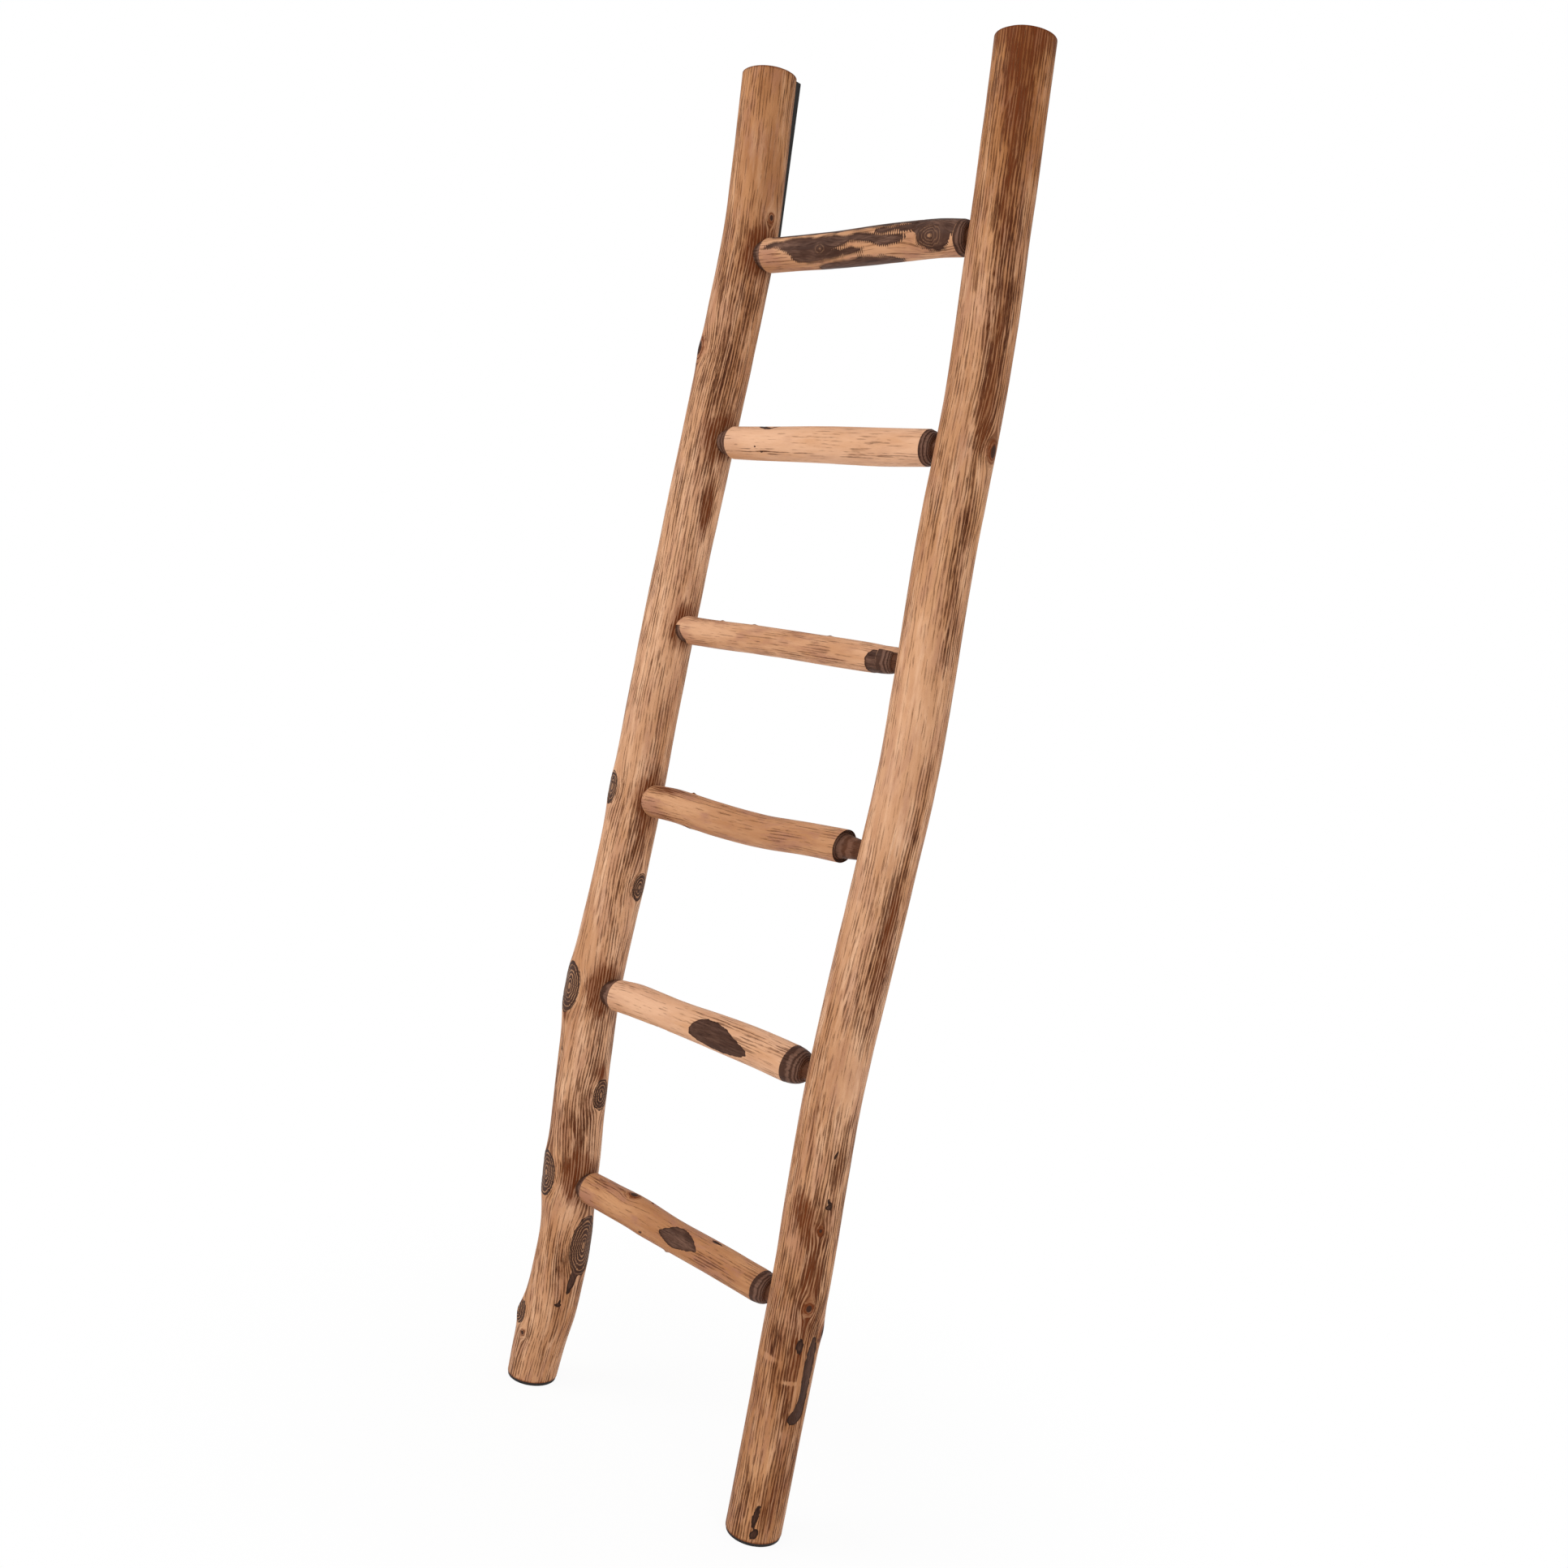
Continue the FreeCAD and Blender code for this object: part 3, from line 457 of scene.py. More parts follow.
# ------------------------------------------------------------------------------- the skin of a log
class Skin:
    """What lies on a log's surface at given places on it, as arrays of their shape.

    radius is how far out the surface lies, cut how far inward of the edge of a ground or hewn
    place, eye 1 on a knot that only shows its rings, and heart the place as seen from the nearest
    knot's middle, with that knot's half width.  streaks and stain are how much more of them there
    is, and grain is the place on the log laid straight, with the grain parted round its knots."""

    def __init__(self, base, height, turn, marks, flats, seed):
        self.base = base
        self.height = height
        self.turn = turn
        self.seed = seed
        self.round = np.stack([np.cos(turn), np.sin(turn), np.zeros_like(turn)], -1)
        self.radius = base + self.lumps()
        self.peel(flats)
        self.cut = np.full(height.shape, UNCUT)
        self.eye = np.zeros(height.shape)
        self.streaks = np.zeros(height.shape)
        self.grow_knots(marks["knots"])
        self.cut_scars(marks["scars"])
        self.hew_patches(marks["patches"])
        self.weather_places(marks["weather"])

    def lumps(self):
        """Slow swellings of the log, coarse and fine."""
        total = 0.0
        for index, (around, pitch, swell) in enumerate(LUMPS):
            place = self.round * around
            place[..., 2] = self.height / pitch
            total = total + swell * lattice_noise(place, self.seed + index)
        return total

    def wander(self):
        """Slow sideways drift of the grain, as a turn."""
        place = np.zeros(self.height.shape + (3,))
        place[..., 2] = self.height / WANDER_PITCH
        return WANDER_TURN * lattice_noise(place, self.seed + len(LUMPS))

    def peel(self, flats):
        """Long shallow flats that the peeling knife left."""
        draw = np.random.default_rng(self.seed + len(LUMPS) + 1)
        low, high = float(self.height.min()), float(self.height.max())
        for _ in range(flats):
            at = draw.uniform(low, high)
            at_turn = draw.uniform(0.0, FULL_TURN)
            half_length = draw.uniform(*PEEL_HALF_LENGTHS)
            depth = draw.uniform(*PEEL_DEPTHS)
            away = (self.height - at) / half_length
            side = np.cos(wrapped(self.turn - at_turn))
            level = self.base - depth * (1.0 - away ** 2) + PEEL_LIFT
            shaved = level / np.maximum(side, PEEL_SIDE)
            self.radius = np.where((np.abs(away) < 1.0) & (side > PEEL_SIDE),
                                   np.minimum(self.radius, shaved), self.radius)

    def from_mark(self, at, at_turn, half_length, half_width, lean=0.0):
        """Distances up and round the log from a mark's middle, and both as one share of it."""
        up = self.height - at
        across = self.base * wrapped(self.turn - math.radians(at_turn)) - lean * up
        return up, across, np.hypot(up / half_length, across / half_width)

    def grow_knots(self, knots):
        """Knots swell the log, part and stain its grain, and are ground or show their rings."""
        shape = self.height.shape
        nearest = np.full(shape, NO_KNOT)
        self.heart = np.zeros(shape + (3,))
        self.heart[..., 0] = NO_KNOT
        self.heart[..., 2] = 1.0
        push_up, push_round = np.zeros(shape), np.zeros(shape)
        for at, at_turn, half_length, half_width, rise, depth, darkness in knots:
            up, across, reach = self.from_mark(at, at_turn, half_length, half_width)
            swell = KNOT_SWELL if darkness > 0.0 else EYE_SWELL
            self.radius = self.radius + rise * np.exp(-(reach / swell) ** 2)
            self.radius = self.radius - depth * np.clip(1.0 - reach ** 2, 0.0, 1.0)
            if darkness > 0.0:
                self.cut = np.maximum(self.cut, (1.0 - reach) * half_width)
            self.eye = np.maximum(self.eye, (1.0 - darkness) * soft_step(reach, *EYE_EDGE))
            place = np.stack([up * half_width / half_length, across,
                              np.full(shape, float(half_width))], -1)
            self.heart = np.where((reach < nearest)[..., None], place, self.heart)
            nearest = np.minimum(nearest, reach)
            core = (PARTING_CORE * half_width) ** 2
            spread = np.maximum((up / PARTING_STRETCH) ** 2 + across ** 2, core)
            push_up += up * core / spread
            push_round -= across * core / spread
        beyond = np.maximum(nearest - HALO_EDGE, 0.0)
        self.stain = HALO_STAIN * np.exp(-beyond / HALO_FADE) * (nearest < HALO_END)
        grain_turn = self.turn + push_round / self.base + self.wander()
        self.grain = np.stack([self.base * np.cos(grain_turn), self.base * np.sin(grain_turn),
                               self.height + push_up], -1)

    def cut_scars(self, scars):
        """Small dark cuts, and places that are left bare of them."""
        for at, at_turn, half_length, half_width, lean, sink in scars:
            _, _, reach = self.from_mark(at, at_turn, half_length, half_width, lean)
            inward = (1.0 - reach) * half_width
            self.cut = (np.maximum(self.cut, inward) if sink > 0.0
                        else np.minimum(self.cut, -inward))
            self.radius = self.radius - sink * soft_step(reach, *SCAR_EDGE)

    def hew_patches(self, patches):
        """Dark places of any outline, a little sunken."""
        turned = np.degrees(wrapped(self.turn))
        for patch in patches:
            at, low, high = np.array(patch, float).T
            beside = np.minimum(turned - np.interp(self.height, at, low),
                                np.interp(self.height, at, high) - turned)
            lengthwise = np.minimum(self.height - at[0], at[-1] - self.height)
            inward = np.minimum(np.radians(beside) * self.base, lengthwise)
            self.cut = np.maximum(self.cut, inward)
            self.radius = self.radius - PATCH_SINK * soft_step(inward, 0.0, PATCH_SLOPE)

    def weather_places(self, weather):
        """Zones with more or fewer streaks and more or less stain."""
        for at, at_turn, half_length, half_width, more_streaks, more_stain in weather:
            _, _, reach = self.from_mark(at, at_turn, half_length, half_width)
            share = np.exp(-reach ** 2)
            self.streaks += more_streaks * share
            self.stain += more_stain * share

    def attributes(self, ends, chatter, tone):
        """The skin as a log's attributes, in metres where they are lengths of the grain."""
        full = np.full(self.height.shape, 1.0)
        return {
            "grain": self.grain * MM,
            "heart": self.heart * MM,
            "marks": np.stack([self.cut, self.stain, self.streaks], -1),
            "ends": ends,
            "extra": np.stack([self.eye, full * chatter, full * tone], -1),
        }


# -------------------------------------------------------------------------------------- log meshes
def ring_turns(rings, around):
    """Turns of the points of rings, a row to each ring."""
    return np.repeat((np.arange(around) * FULL_TURN / around)[None, :], rings, 0)


def joined(rings, added, first):
    """Rings with more of them, listed outward, before the first or after the last."""
    return np.concatenate([added[::-1], rings] if first else [rings, added])


def skin_map(points, girth, strips):
    """Map of a log's skin, laid out as strips side by side, with both ends as small discs."""
    rings, around, _ = points.shape
    ring, column = np.meshgrid(np.arange(rings - 1), np.arange(around), indexing="ij")
    steps = np.linalg.norm(np.diff(points, axis=0), axis=-1).mean(1)
    along = np.concatenate([[0.0], np.cumsum(steps)])
    strip_length = along[-1] / strips
    strip = np.minimum((along[:-1] / strip_length).astype(int), strips - 1)[ring]
    size = max(strips * (girth + MAP_MARGIN), strip_length + 2.0 * MAP_MARGIN + MAP_END_ROOM)
    sides = np.stack([column, column + 1, column + 1, column], -1) * (girth / around)
    u = sides + (strip * (girth + MAP_MARGIN) + MAP_MARGIN / 2.0)[..., None]
    v = np.stack([along[ring], along[ring], along[ring + 1], along[ring + 1]], -1)
    v = v - (strip * strip_length)[..., None] + MAP_MARGIN
    turns = ring_turns(1, around)[0]
    disc = np.stack([np.cos(turns), np.sin(turns)], -1) * MAP_DISC_RADIUS
    first_disc, last_disc = ((at, size - MAP_DISC_DROP) for at in MAP_DISCS_AT)
    return np.concatenate([np.stack([u, v], -1).reshape(-1, 2), disc[::-1] + first_disc,
                           disc + last_disc]) / size


def write_log(name, points, data, girth, strips):
    """Mesh of a log from rings of points, closed by a small face at each end.

    data holds the rings' attributes."""
    rings, around, _ = points.shape
    ring, column = np.meshgrid(np.arange(rings - 1), np.arange(around), indexing="ij")
    beside = (column + 1) % around
    corners = [ring * around + column, ring * around + beside,
               (ring + 1) * around + beside, (ring + 1) * around + column]
    quads = np.stack(corners, -1).reshape(-1, 4)
    first = np.arange(around)[::-1]
    last = (rings - 1) * around + np.arange(around)
    mesh = bpy.data.meshes.new(name)
    mesh.from_pydata((points.reshape(-1, 3) * MM).tolist(), [],
                     quads.tolist() + [first.tolist(), last.tolist()])
    layer = mesh.uv_layers.new(name="OFBake")
    layer.data.foreach_set("uv", skin_map(points, girth, strips).astype(np.float32).ravel())
    for label, values in data.items():
        attribute = mesh.attributes.new(label, "FLOAT_VECTOR", "POINT")
        attribute.data.foreach_set("vector", values.astype(np.float32).ravel())
    mesh.shade_smooth()
    mesh.set_sharp_from_angle(angle=math.radians(SHARP_ANGLE))
    mesh.update()
    piece = bpy.data.objects.new(name, mesh)
    bpy.context.scene.collection.objects.link(piece)
    return piece


# ------------------------------------------------------------------------------------------- rails
def frame_shift():
    """Where the middle between the rails lies in the frame, and how far apart they stand."""
    middles = []
    for node, bow in (("left_foot_pad", LEFT_BOW), ("right_foot_pad", RIGHT_BOW)):
        low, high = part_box(node)
        middle = (low + high) / (2.0 * MM)
        middles.append((middle.x - bow[0, 1], middle.y - bow[0, 2]))
    (left_x, left_y), (right_x, right_y) = middles
    return np.array([(left_x + right_x) / 2.0, (left_y + right_y) / 2.0, 0.0]), right_x - left_x


SHIFT, RAIL_SPACING = frame_shift()


def rail_share(height):
    """Share of a rail's length at a height."""
    return (np.asarray(height, float) - RAIL_FOOT) / RAIL_LENGTH


def rail_middle(side, height):
    """Points on a rail's centre line, in the frame."""
    bow, share = RAILS[side]["bow"], rail_share(height)
    return SHIFT + np.stack([side * RAIL_SPACING / 2.0 + smooth_value(bow, share, 1),
                             smooth_value(bow, share, 2), np.asarray(height, float)], -1)


def rail_radius(side, height):
    """Radius of a rail without its knots."""
    return RAIL_RADIUS + smooth_value(RAILS[side]["bow"], rail_share(height), 3)


def joint_ends(number):
    """Joint middle and direction into the rail for a rung's left and right ends."""
    even = FIRST_RUNG + number * RUNG_STEP
    left, right = (rail_middle(side, even + shift)
                   for side, shift in zip(RAILS, RUNGS[number]["shifts"]))
    chord = unit(right - left)
    return (left, -chord), (right, chord)


def rail_place(side, height, turn, radius):
    """Points at a radius from a rail's centre line, on rings square to it but level at its foot."""
    low = np.clip(height - AXIS_STEP, RAIL_FOOT, RAIL_TOP)
    high = np.clip(height + AXIS_STEP, RAIL_FOOT, RAIL_TOP)
    axis = unit(rail_middle(side, high) - rail_middle(side, low))
    square = soft_step(height, RAIL_FOOT, RAIL_FOOT + LEVEL_FOOT)[..., None]
    axis = unit(axis * square + UPWARD * (1.0 - square))
    rightward = unit(np.cross(BACKWARD, axis))
    forward = np.cross(rightward, axis)
    outward = forward * np.cos(turn)[..., None] + rightward * np.sin(turn)[..., None]
    return rail_middle(side, height) + outward * radius[..., None]


def open_hole(height, turn, centre, radius, log_radius, inner, outer):
    """Draws the grid's nearby points into rings round a hole, of which inner lie in it.

    Returns ring numbers, rows, columns, cosines and sines of the points inside it."""
    around = turn.shape[1]
    row_step = height[1, 0] - height[0, 0]
    row0 = int(round((centre[0] - height[0, 0]) / row_step))
    column0 = int(round(centre[1] / FULL_TURN * around))
    down, across = np.meshgrid(np.arange(-outer, outer + 1), np.arange(-outer, outer + 1),
                               indexing="ij")
    ring = np.maximum(np.abs(down), np.abs(across))
    tall = np.abs(down) >= np.abs(across)
    safe_down = np.where(down == 0, 1, down)
    safe_across = np.where(across == 0, 1, across)
    angle = np.where(tall, math.pi / 4.0 * across / safe_down + np.where(down < 0, math.pi, 0.0),
                     math.pi / 2.0 - math.pi / 4.0 * down / safe_across
                     + np.where(across < 0, math.pi, 0.0))
    rows = row0 + down
    columns = (column0 + across) % around
    keep = soft_step(ring, inner, outer)
    reach = radius * ring / inner
    hole_height = centre[0] + reach * np.cos(angle)
    sideways = np.clip(reach * np.sin(angle) / log_radius, -HOLE_REACH, HOLE_REACH)
    hole_turn = centre[1] + np.arcsin(sideways)
    grid_height = height[rows, columns]
    grid_turn = centre[1] + wrapped(turn[rows, columns] - centre[1])
    height[rows, columns] = hole_height * (1.0 - keep) + grid_height * keep
    turn[rows, columns] = hole_turn * (1.0 - keep) + grid_turn * keep
    inside = ring < inner
    return ring[inside], rows[inside], columns[inside], np.cos(angle[inside]), np.sin(angle[inside])


def open_mortise(side, height, turn, joint, outward):
    """Opens one mortise, and returns its rows and columns of the grid and where they go."""
    radius = float(rail_radius(side, joint[2]))
    slope = rail_middle(side, joint[2] + 1.0)[0] - rail_middle(side, joint[2] - 1.0)[0]
    entry_height = (joint - outward * radius)[2] - side * radius * slope / 2.0
    ring, rows, columns, cosine, sine = open_hole(
        height, turn, (entry_height, INNER_TURNS[side]), MORTISE_RADIUS, radius, *MORTISE_RINGS)
    bottom = joint + outward * (TENON_PAST_MIDDLE + MORTISE_END_GAP)
    sideways = BACKWARD * -side
    ladder_up = unit(np.cross(outward, sideways))
    ladder_up = ladder_up * np.sign(ladder_up[2])
    radial = ladder_up * cosine[:, None] + sideways * sine[:, None]
    wall = MORTISE_RINGS[0] - 1
    reach = MORTISE_RADIUS * np.minimum(ring, wall) / wall
    return rows, columns, bottom + radial * reach[:, None]


def open_screw_hole(side, height, turn, joint, outward):
    """Opens one screw hole, and returns its rows and columns of the grid and where they go."""
    radius = float(rail_radius(side, joint[2]))
    axis = joint - outward * SCREW_INSET
    seat_turn = math.pi + side * math.asin(SCREW_INSET / radius)
    ring, rows, columns, cosine, sine = open_hole(
        height, turn, (axis[2], seat_turn), SCREW_HOLE[-1, 1], radius, *SCREW_RINGS)
    seat = np.array([axis[0], joint[1] + math.sqrt(radius ** 2 - SCREW_INSET ** 2), axis[2]])
    radial = UPWARD * cosine[:, None] - RIGHTWARD * sine[:, None]
    depth, reach = SCREW_HOLE[ring].T
    return rows, columns, seat - BACKWARD * depth[:, None] + radial * reach[:, None]


def open_checks(checks, height, turn):
    """Draws the grid's columns together along the drying checks, and returns their depth."""
    around = turn.shape[1]
    opened = np.zeros(height.shape)
    for low, high, at_turn, depth in checks:
        column = int(round(math.radians(at_turn) / FULL_TURN * around))
        part = (height[:, 0] - low) / (high - low)
        inside = (part > 0.0) & (part <= 1.0)
        opening = CHECK_TAPER * np.minimum(part, CHECK_UPPER_TIP - part)
        taper = np.where(inside, np.minimum(1.0, opening), 0.0)
        wave = sum(size * np.sin(height[:, 0] / pitch) for size, pitch in CHECK_WAVES)
        turn[:, column] += wave / RAIL_RADIUS * taper
        width = (CHECK_SWELL * taper + CHECK_WIDTH) / RAIL_RADIUS
        for beside, way in ((column - 1, -1.0), (column + 1, 1.0)):
            turn[:, beside] = np.where(inside, turn[:, column] + way * width, turn[:, beside])
        opened[:, column] = taper * depth
    return opened


def plane_flat(side, points):
    """Planes the back of a rail's top flat for its wall pad, with a run-out below it."""
    low_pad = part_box("left_wall_pad" if side < 0 else "right_wall_pad")[0].z / MM
    run_out = np.maximum(low_pad - FLAT_PAST_PAD - points[..., 2], 0.0) * FLAT_RUN_OUT
    points[..., 1] = np.minimum(points[..., 1], SHIFT[1] + WALL_FLAT_BACK + run_out)


def close_end(points, data, first):
    """Rings of a rail with a small bevel and the sawn face added to one end."""
    rim, beyond = (0, 1) if first else (-1, -2)
    centre = points[rim].mean(0)
    outward = unit((points[rim] - points[beyond]).mean(0))
    face = centre + (points[rim] - centre) * SAWN_SHARES[:, None, None]
    # the end steps back by the bevel, so that the overall length stays
    points[rim] -= outward * BEVEL
    face[0] -= outward * BEVEL_REST
    points = joined(points, face, first)
    for label, values in data.items():
        added = np.repeat(values[rim][None], len(SAWN_SHARES), 0)
        if label == "grain":
            added[..., :2] *= SAWN_SHARES[:, None, None]
        if label == "ends":
            added[..., 0] = 1.0
            added[..., 2] = 0.0
        data[label] = joined(values, added, first)
    return points, data


def rail_points(side, logs):
    """Rings of points of one rail and their attributes."""
    rail = RAILS[side]
    height = np.repeat(np.linspace(RAIL_FOOT, RAIL_TOP, logs.rail_rows)[:, None],
                       logs.rail_columns, 1)
    turn = ring_turns(logs.rail_rows, logs.rail_columns)
    up, round_by, *halo = JOINT_HALO
    holes, weather = [], list(rail["weather"])
    for number in range(len(RUNGS)):
        joint, outward = joint_ends(number)[0 if side < 0 else 1]
        holes.append(open_mortise(side, height, turn, joint, outward))
        holes.append(open_screw_hole(side, height, turn, joint, outward))
        weather.append((joint[2] + up, math.degrees(INNER_TURNS[side]) + round_by, *halo))
    check = open_checks(rail["checks"], height, turn)

    knots = [(RAIL_FOOT + share * RAIL_LENGTH, *rest) for share, *rest in rail["knots"]]
    marks = dict(knots=knots, scars=rail["scars"], patches=rail["patches"], weather=weather)
    skin = Skin(rail_radius(side, height), height, turn, marks, RAIL_FLATS, rail["seed"])
    points = rail_place(side, height, turn, skin.radius - check)
    plane_flat(side, points)
    for rows, columns, places in holes:
        points[rows, columns] = places
        skin.stain[rows, columns] = HOLE_STAIN

    ends = np.zeros(height.shape + (3,))
    ends[..., 1] = np.minimum(check, 1.0)
    ends[..., 2] = np.minimum(height - RAIL_FOOT, RAIL_TOP - height) * MM
    data = skin.attributes(ends, chatter=0.0, tone=np.interp(height, *rail["tones"].T))
    for first in (True, False):
        points, data = close_end(points, data, first)
    return points, data


# ------------------------------------------------------------------------------------------- rungs
class Rung:
    """One rung: its bowed line from shoulder to shoulder, its girth and its rings of points."""

    def __init__(self, number):
        self.form = RUNGS[number]
        self.seed = RUNG_SEED + RUNG_SEED_STEP * number
        (left, leftward), (right, self.rightward) = joint_ends(number)
        self.reach = (float(rail_radius(-1, left[2])), float(rail_radius(+1, right[2])))
        necks = self.form["necks"]
        self.start = left - leftward * (self.reach[0] + necks[0])
        end = right - self.rightward * (self.reach[1] + necks[1])
        self.length = float(np.linalg.norm(end - self.start))
        self.rise_way = unit(UPWARD - self.rightward * self.rightward[2])
        self.back_way = np.cross(self.rise_way, self.rightward)
        self.arch = np.array([(0.0, 0.0, 0.0, 0.0), *self.form["arch"], (1.0, 0.0, 0.0, 0.0)])

    def radius(self, along):
        """Radius of the rung without its knots."""
        share = along / self.length
        left, right = self.form["diameters"]
        return (left * (1.0 - share) + right * share) / 2.0 + smooth_value(self.arch, share, 3)

    def placed(self, along, turn, out):
        """Points at a distance out from the rung's line."""
        share = along / self.length
        outward = (-self.back_way * np.cos(turn)[..., None]
                   + self.rise_way * np.sin(turn)[..., None])
        middle = (self.start + self.rightward * along[..., None]
                  + self.rise_way * smooth_value(self.arch, share, 1)[..., None]
                  + self.back_way * smooth_value(self.arch, share, 2)[..., None])
        return middle + outward * out[..., None]

    def in_mm(self, marks):
        """Marks with their shares of the length as distances along it."""
        return [(share * self.length, *rest) for share, *rest in marks]

    def points(self, logs):
        """Rings of points of the whole rung and their attributes."""
        form = self.form
        turn = ring_turns(logs.rung_rows, logs.rung_columns)
        tilts = [size * np.cos(turn[0] - math.radians(to)) for size, to in form["tilts"]]
        part = np.linspace(0.0, 1.0, logs.rung_rows)[:, None]
        along = tilts[0] * (1.0 - part) + (self.length + tilts[1]) * part
        marks = {kind: self.in_mm(form[kind]) for kind in ("knots", "scars", "weather")}
        marks["patches"] = [self.in_mm(patch) for patch in form["patches"]]
        skin = Skin(self.radius(along), along, turn, marks, RUNG_FLATS, self.seed)
        skin.streaks += form["bark"]
        points = self.placed(along, turn, skin.radius)
        ends = np.zeros(along.shape + (3,))
        ends[..., 2] = np.minimum(along - tilts[0], self.length + tilts[1] - along) * MM
        data = skin.attributes(ends, form.get("chatter", 0.0), form["tone"])
        for which in (0, 1):
            points, data = self.add_end(which, points, data, along[-which], turn[0],
                                        skin.radius[-which])
        return points, data

    def uncut(self, which, turn):
        """1 where the shoulder of an end was left in the round, 0 where it was turned."""
        left_round = self.form.get("bare", (None, None))[which]
        if left_round is None:
            return np.zeros(turn.shape)
        low, high = left_round
        return 1.0 * ((np.degrees(turn) - low) % 360.0 < high - low)

    def add_end(self, which, points, data, rim_at, turn, rim_radius):
        """Rings with those of one shoulder and its tenon added."""
        first = which == 0
        way = -1.0 if first else 1.0
        shoulder = 0.0 if first else self.length
        neck, reach = self.form["necks"][which], self.reach[which]
        tenon_run = neck + reach + TENON_PAST_MIDDLE
        uncut = self.uncut(which, turn)
        end_points, end_marks, runs, sizes = [], [], [], []
        for run, drop in dense_profile(self.form["ends"][which], neck):
            share = min(max(run / neck, 0.0), 1.0)
            kept = np.maximum(drop, uncut * (1.0 - BARE_TAPER * share ** 6))
            out = TENON_RADIUS + (rim_radius - TENON_RADIUS) * kept
            saddle = reach - np.sqrt(reach ** 2 - (out * np.cos(turn)) ** 2)
            along = (shoulder + way * (run + saddle * share ** 2)
                     + (rim_at - shoulder) * (1.0 - share))
            end_points.append(self.placed(along, turn, out))
            end_marks.append(np.stack([1.0 - uncut, 0.0 * uncut, 1.0 - kept], -1))
            runs.append(run)
            sizes.append(TENON_RADIUS + (rim_radius - TENON_RADIUS) * drop)
        tenon = [(tenon_run * 0.5, TENON_RADIUS), (tenon_run - TENON_CHAMFER, TENON_RADIUS),
                 (tenon_run, TENON_RADIUS - TENON_CHAMFER)]
        for run, size in (*tenon, *((tenon_run, ring) for ring in TENON_END_RINGS)):
            out = np.full(turn.shape, size)
            end_points.append(self.placed(np.full(turn.shape, shoulder + way * run), turn, out))
            end_marks.append(np.full((len(turn), 3), (1.0, 0.0, 1.0)))
            runs.append(run)
            sizes.append(out)
        points = joined(points, np.array(end_points), first)
        for label, values in data.items():
            added = np.repeat(values[-which][None], len(runs), 0)
            if label == "ends":
                added = np.array(end_marks)
            if label == "grain":
                added[..., :2] *= (np.array(sizes) / rim_radius)[..., None]
                added[..., 2] = (shoulder + way * np.array(runs)[:, None]) * MM
            if label == "marks":
                added[..., 0] = UNCUT
                added[..., 1] = 0.0
            data[label] = joined(values, added, first)
        return points, data


def dense_profile(profile, neck):
    """Profile as (run in mm, share of the drop), with about a ring to each millimetre."""
    runs = np.array([run * neck for run, _ in profile])
    drops = np.array([drop for _, drop in profile])
    steps = np.hypot(np.diff(runs), np.diff(drops) * PROFILE_DROP)
    travel = np.concatenate([[0.0], np.cumsum(steps)])
    count = max(int(travel[-1] / PROFILE_STEP), LEAST_RINGS)
    wanted = np.linspace(0.0, travel[-1], count)
    return list(zip(np.interp(wanted, travel, runs), np.interp(wanted, travel, drops)))[1:]


# --------------------------------------------------------------------------------------- materials
class Nodes:
    """Adds and joins the nodes of one tree."""

    def __init__(self, tree):
        self.tree = tree
        tree.nodes.clear()

    def put(self, socket, value):
        """Links or sets one input."""
        if isinstance(value, bpy.types.NodeSocket):
            self.tree.links.new(value, socket)
        else:
            socket.default_value = value

    def node(self, kind, inputs=(), **settings):
        """New node with its settings, and its inputs by name or number."""
        made = self.tree.nodes.new(kind)
        for label, value in settings.items():
            setattr(made, label, value)
        for socket, value in dict(inputs).items():
            self.put(made.inputs[socket], value)
        return made

    def math(self, operation, *values, clamp=False):
        """Output of one sum."""
        made = self.node("ShaderNodeMath", dict(enumerate(values)), operation=operation,
                         use_clamp=clamp)
        return made.outputs[0]

    def plus(self, first, second, clamp=False):
        """Two values added."""
        return self.math("ADD", first, second, clamp=clamp)

    def times(self, first, second, clamp=False):
        """Two values multiplied."""
        return self.math("MULTIPLY", first, second, clamp=clamp)

    def line(self, value, slope, start):
        """A value on a straight line: slope times the value, and the start."""
        return self.math("MULTIPLY_ADD", value, slope, start)

    def band(self, value, low, high, to_low=0.0, to_high=1.0):
        """Smooth step of a value from low to high."""
        made = self.node("ShaderNodeMapRange",
                         {0: value, 1: low, 2: high, 3: to_low, 4: to_high},
                         interpolation_type="SMOOTHSTEP")
        return made.outputs[0]

    def above(self, value, middle, width):
        """How far a noise stands above a middle, from 0 to 1."""
        return self.band(value, middle - width, middle + width)


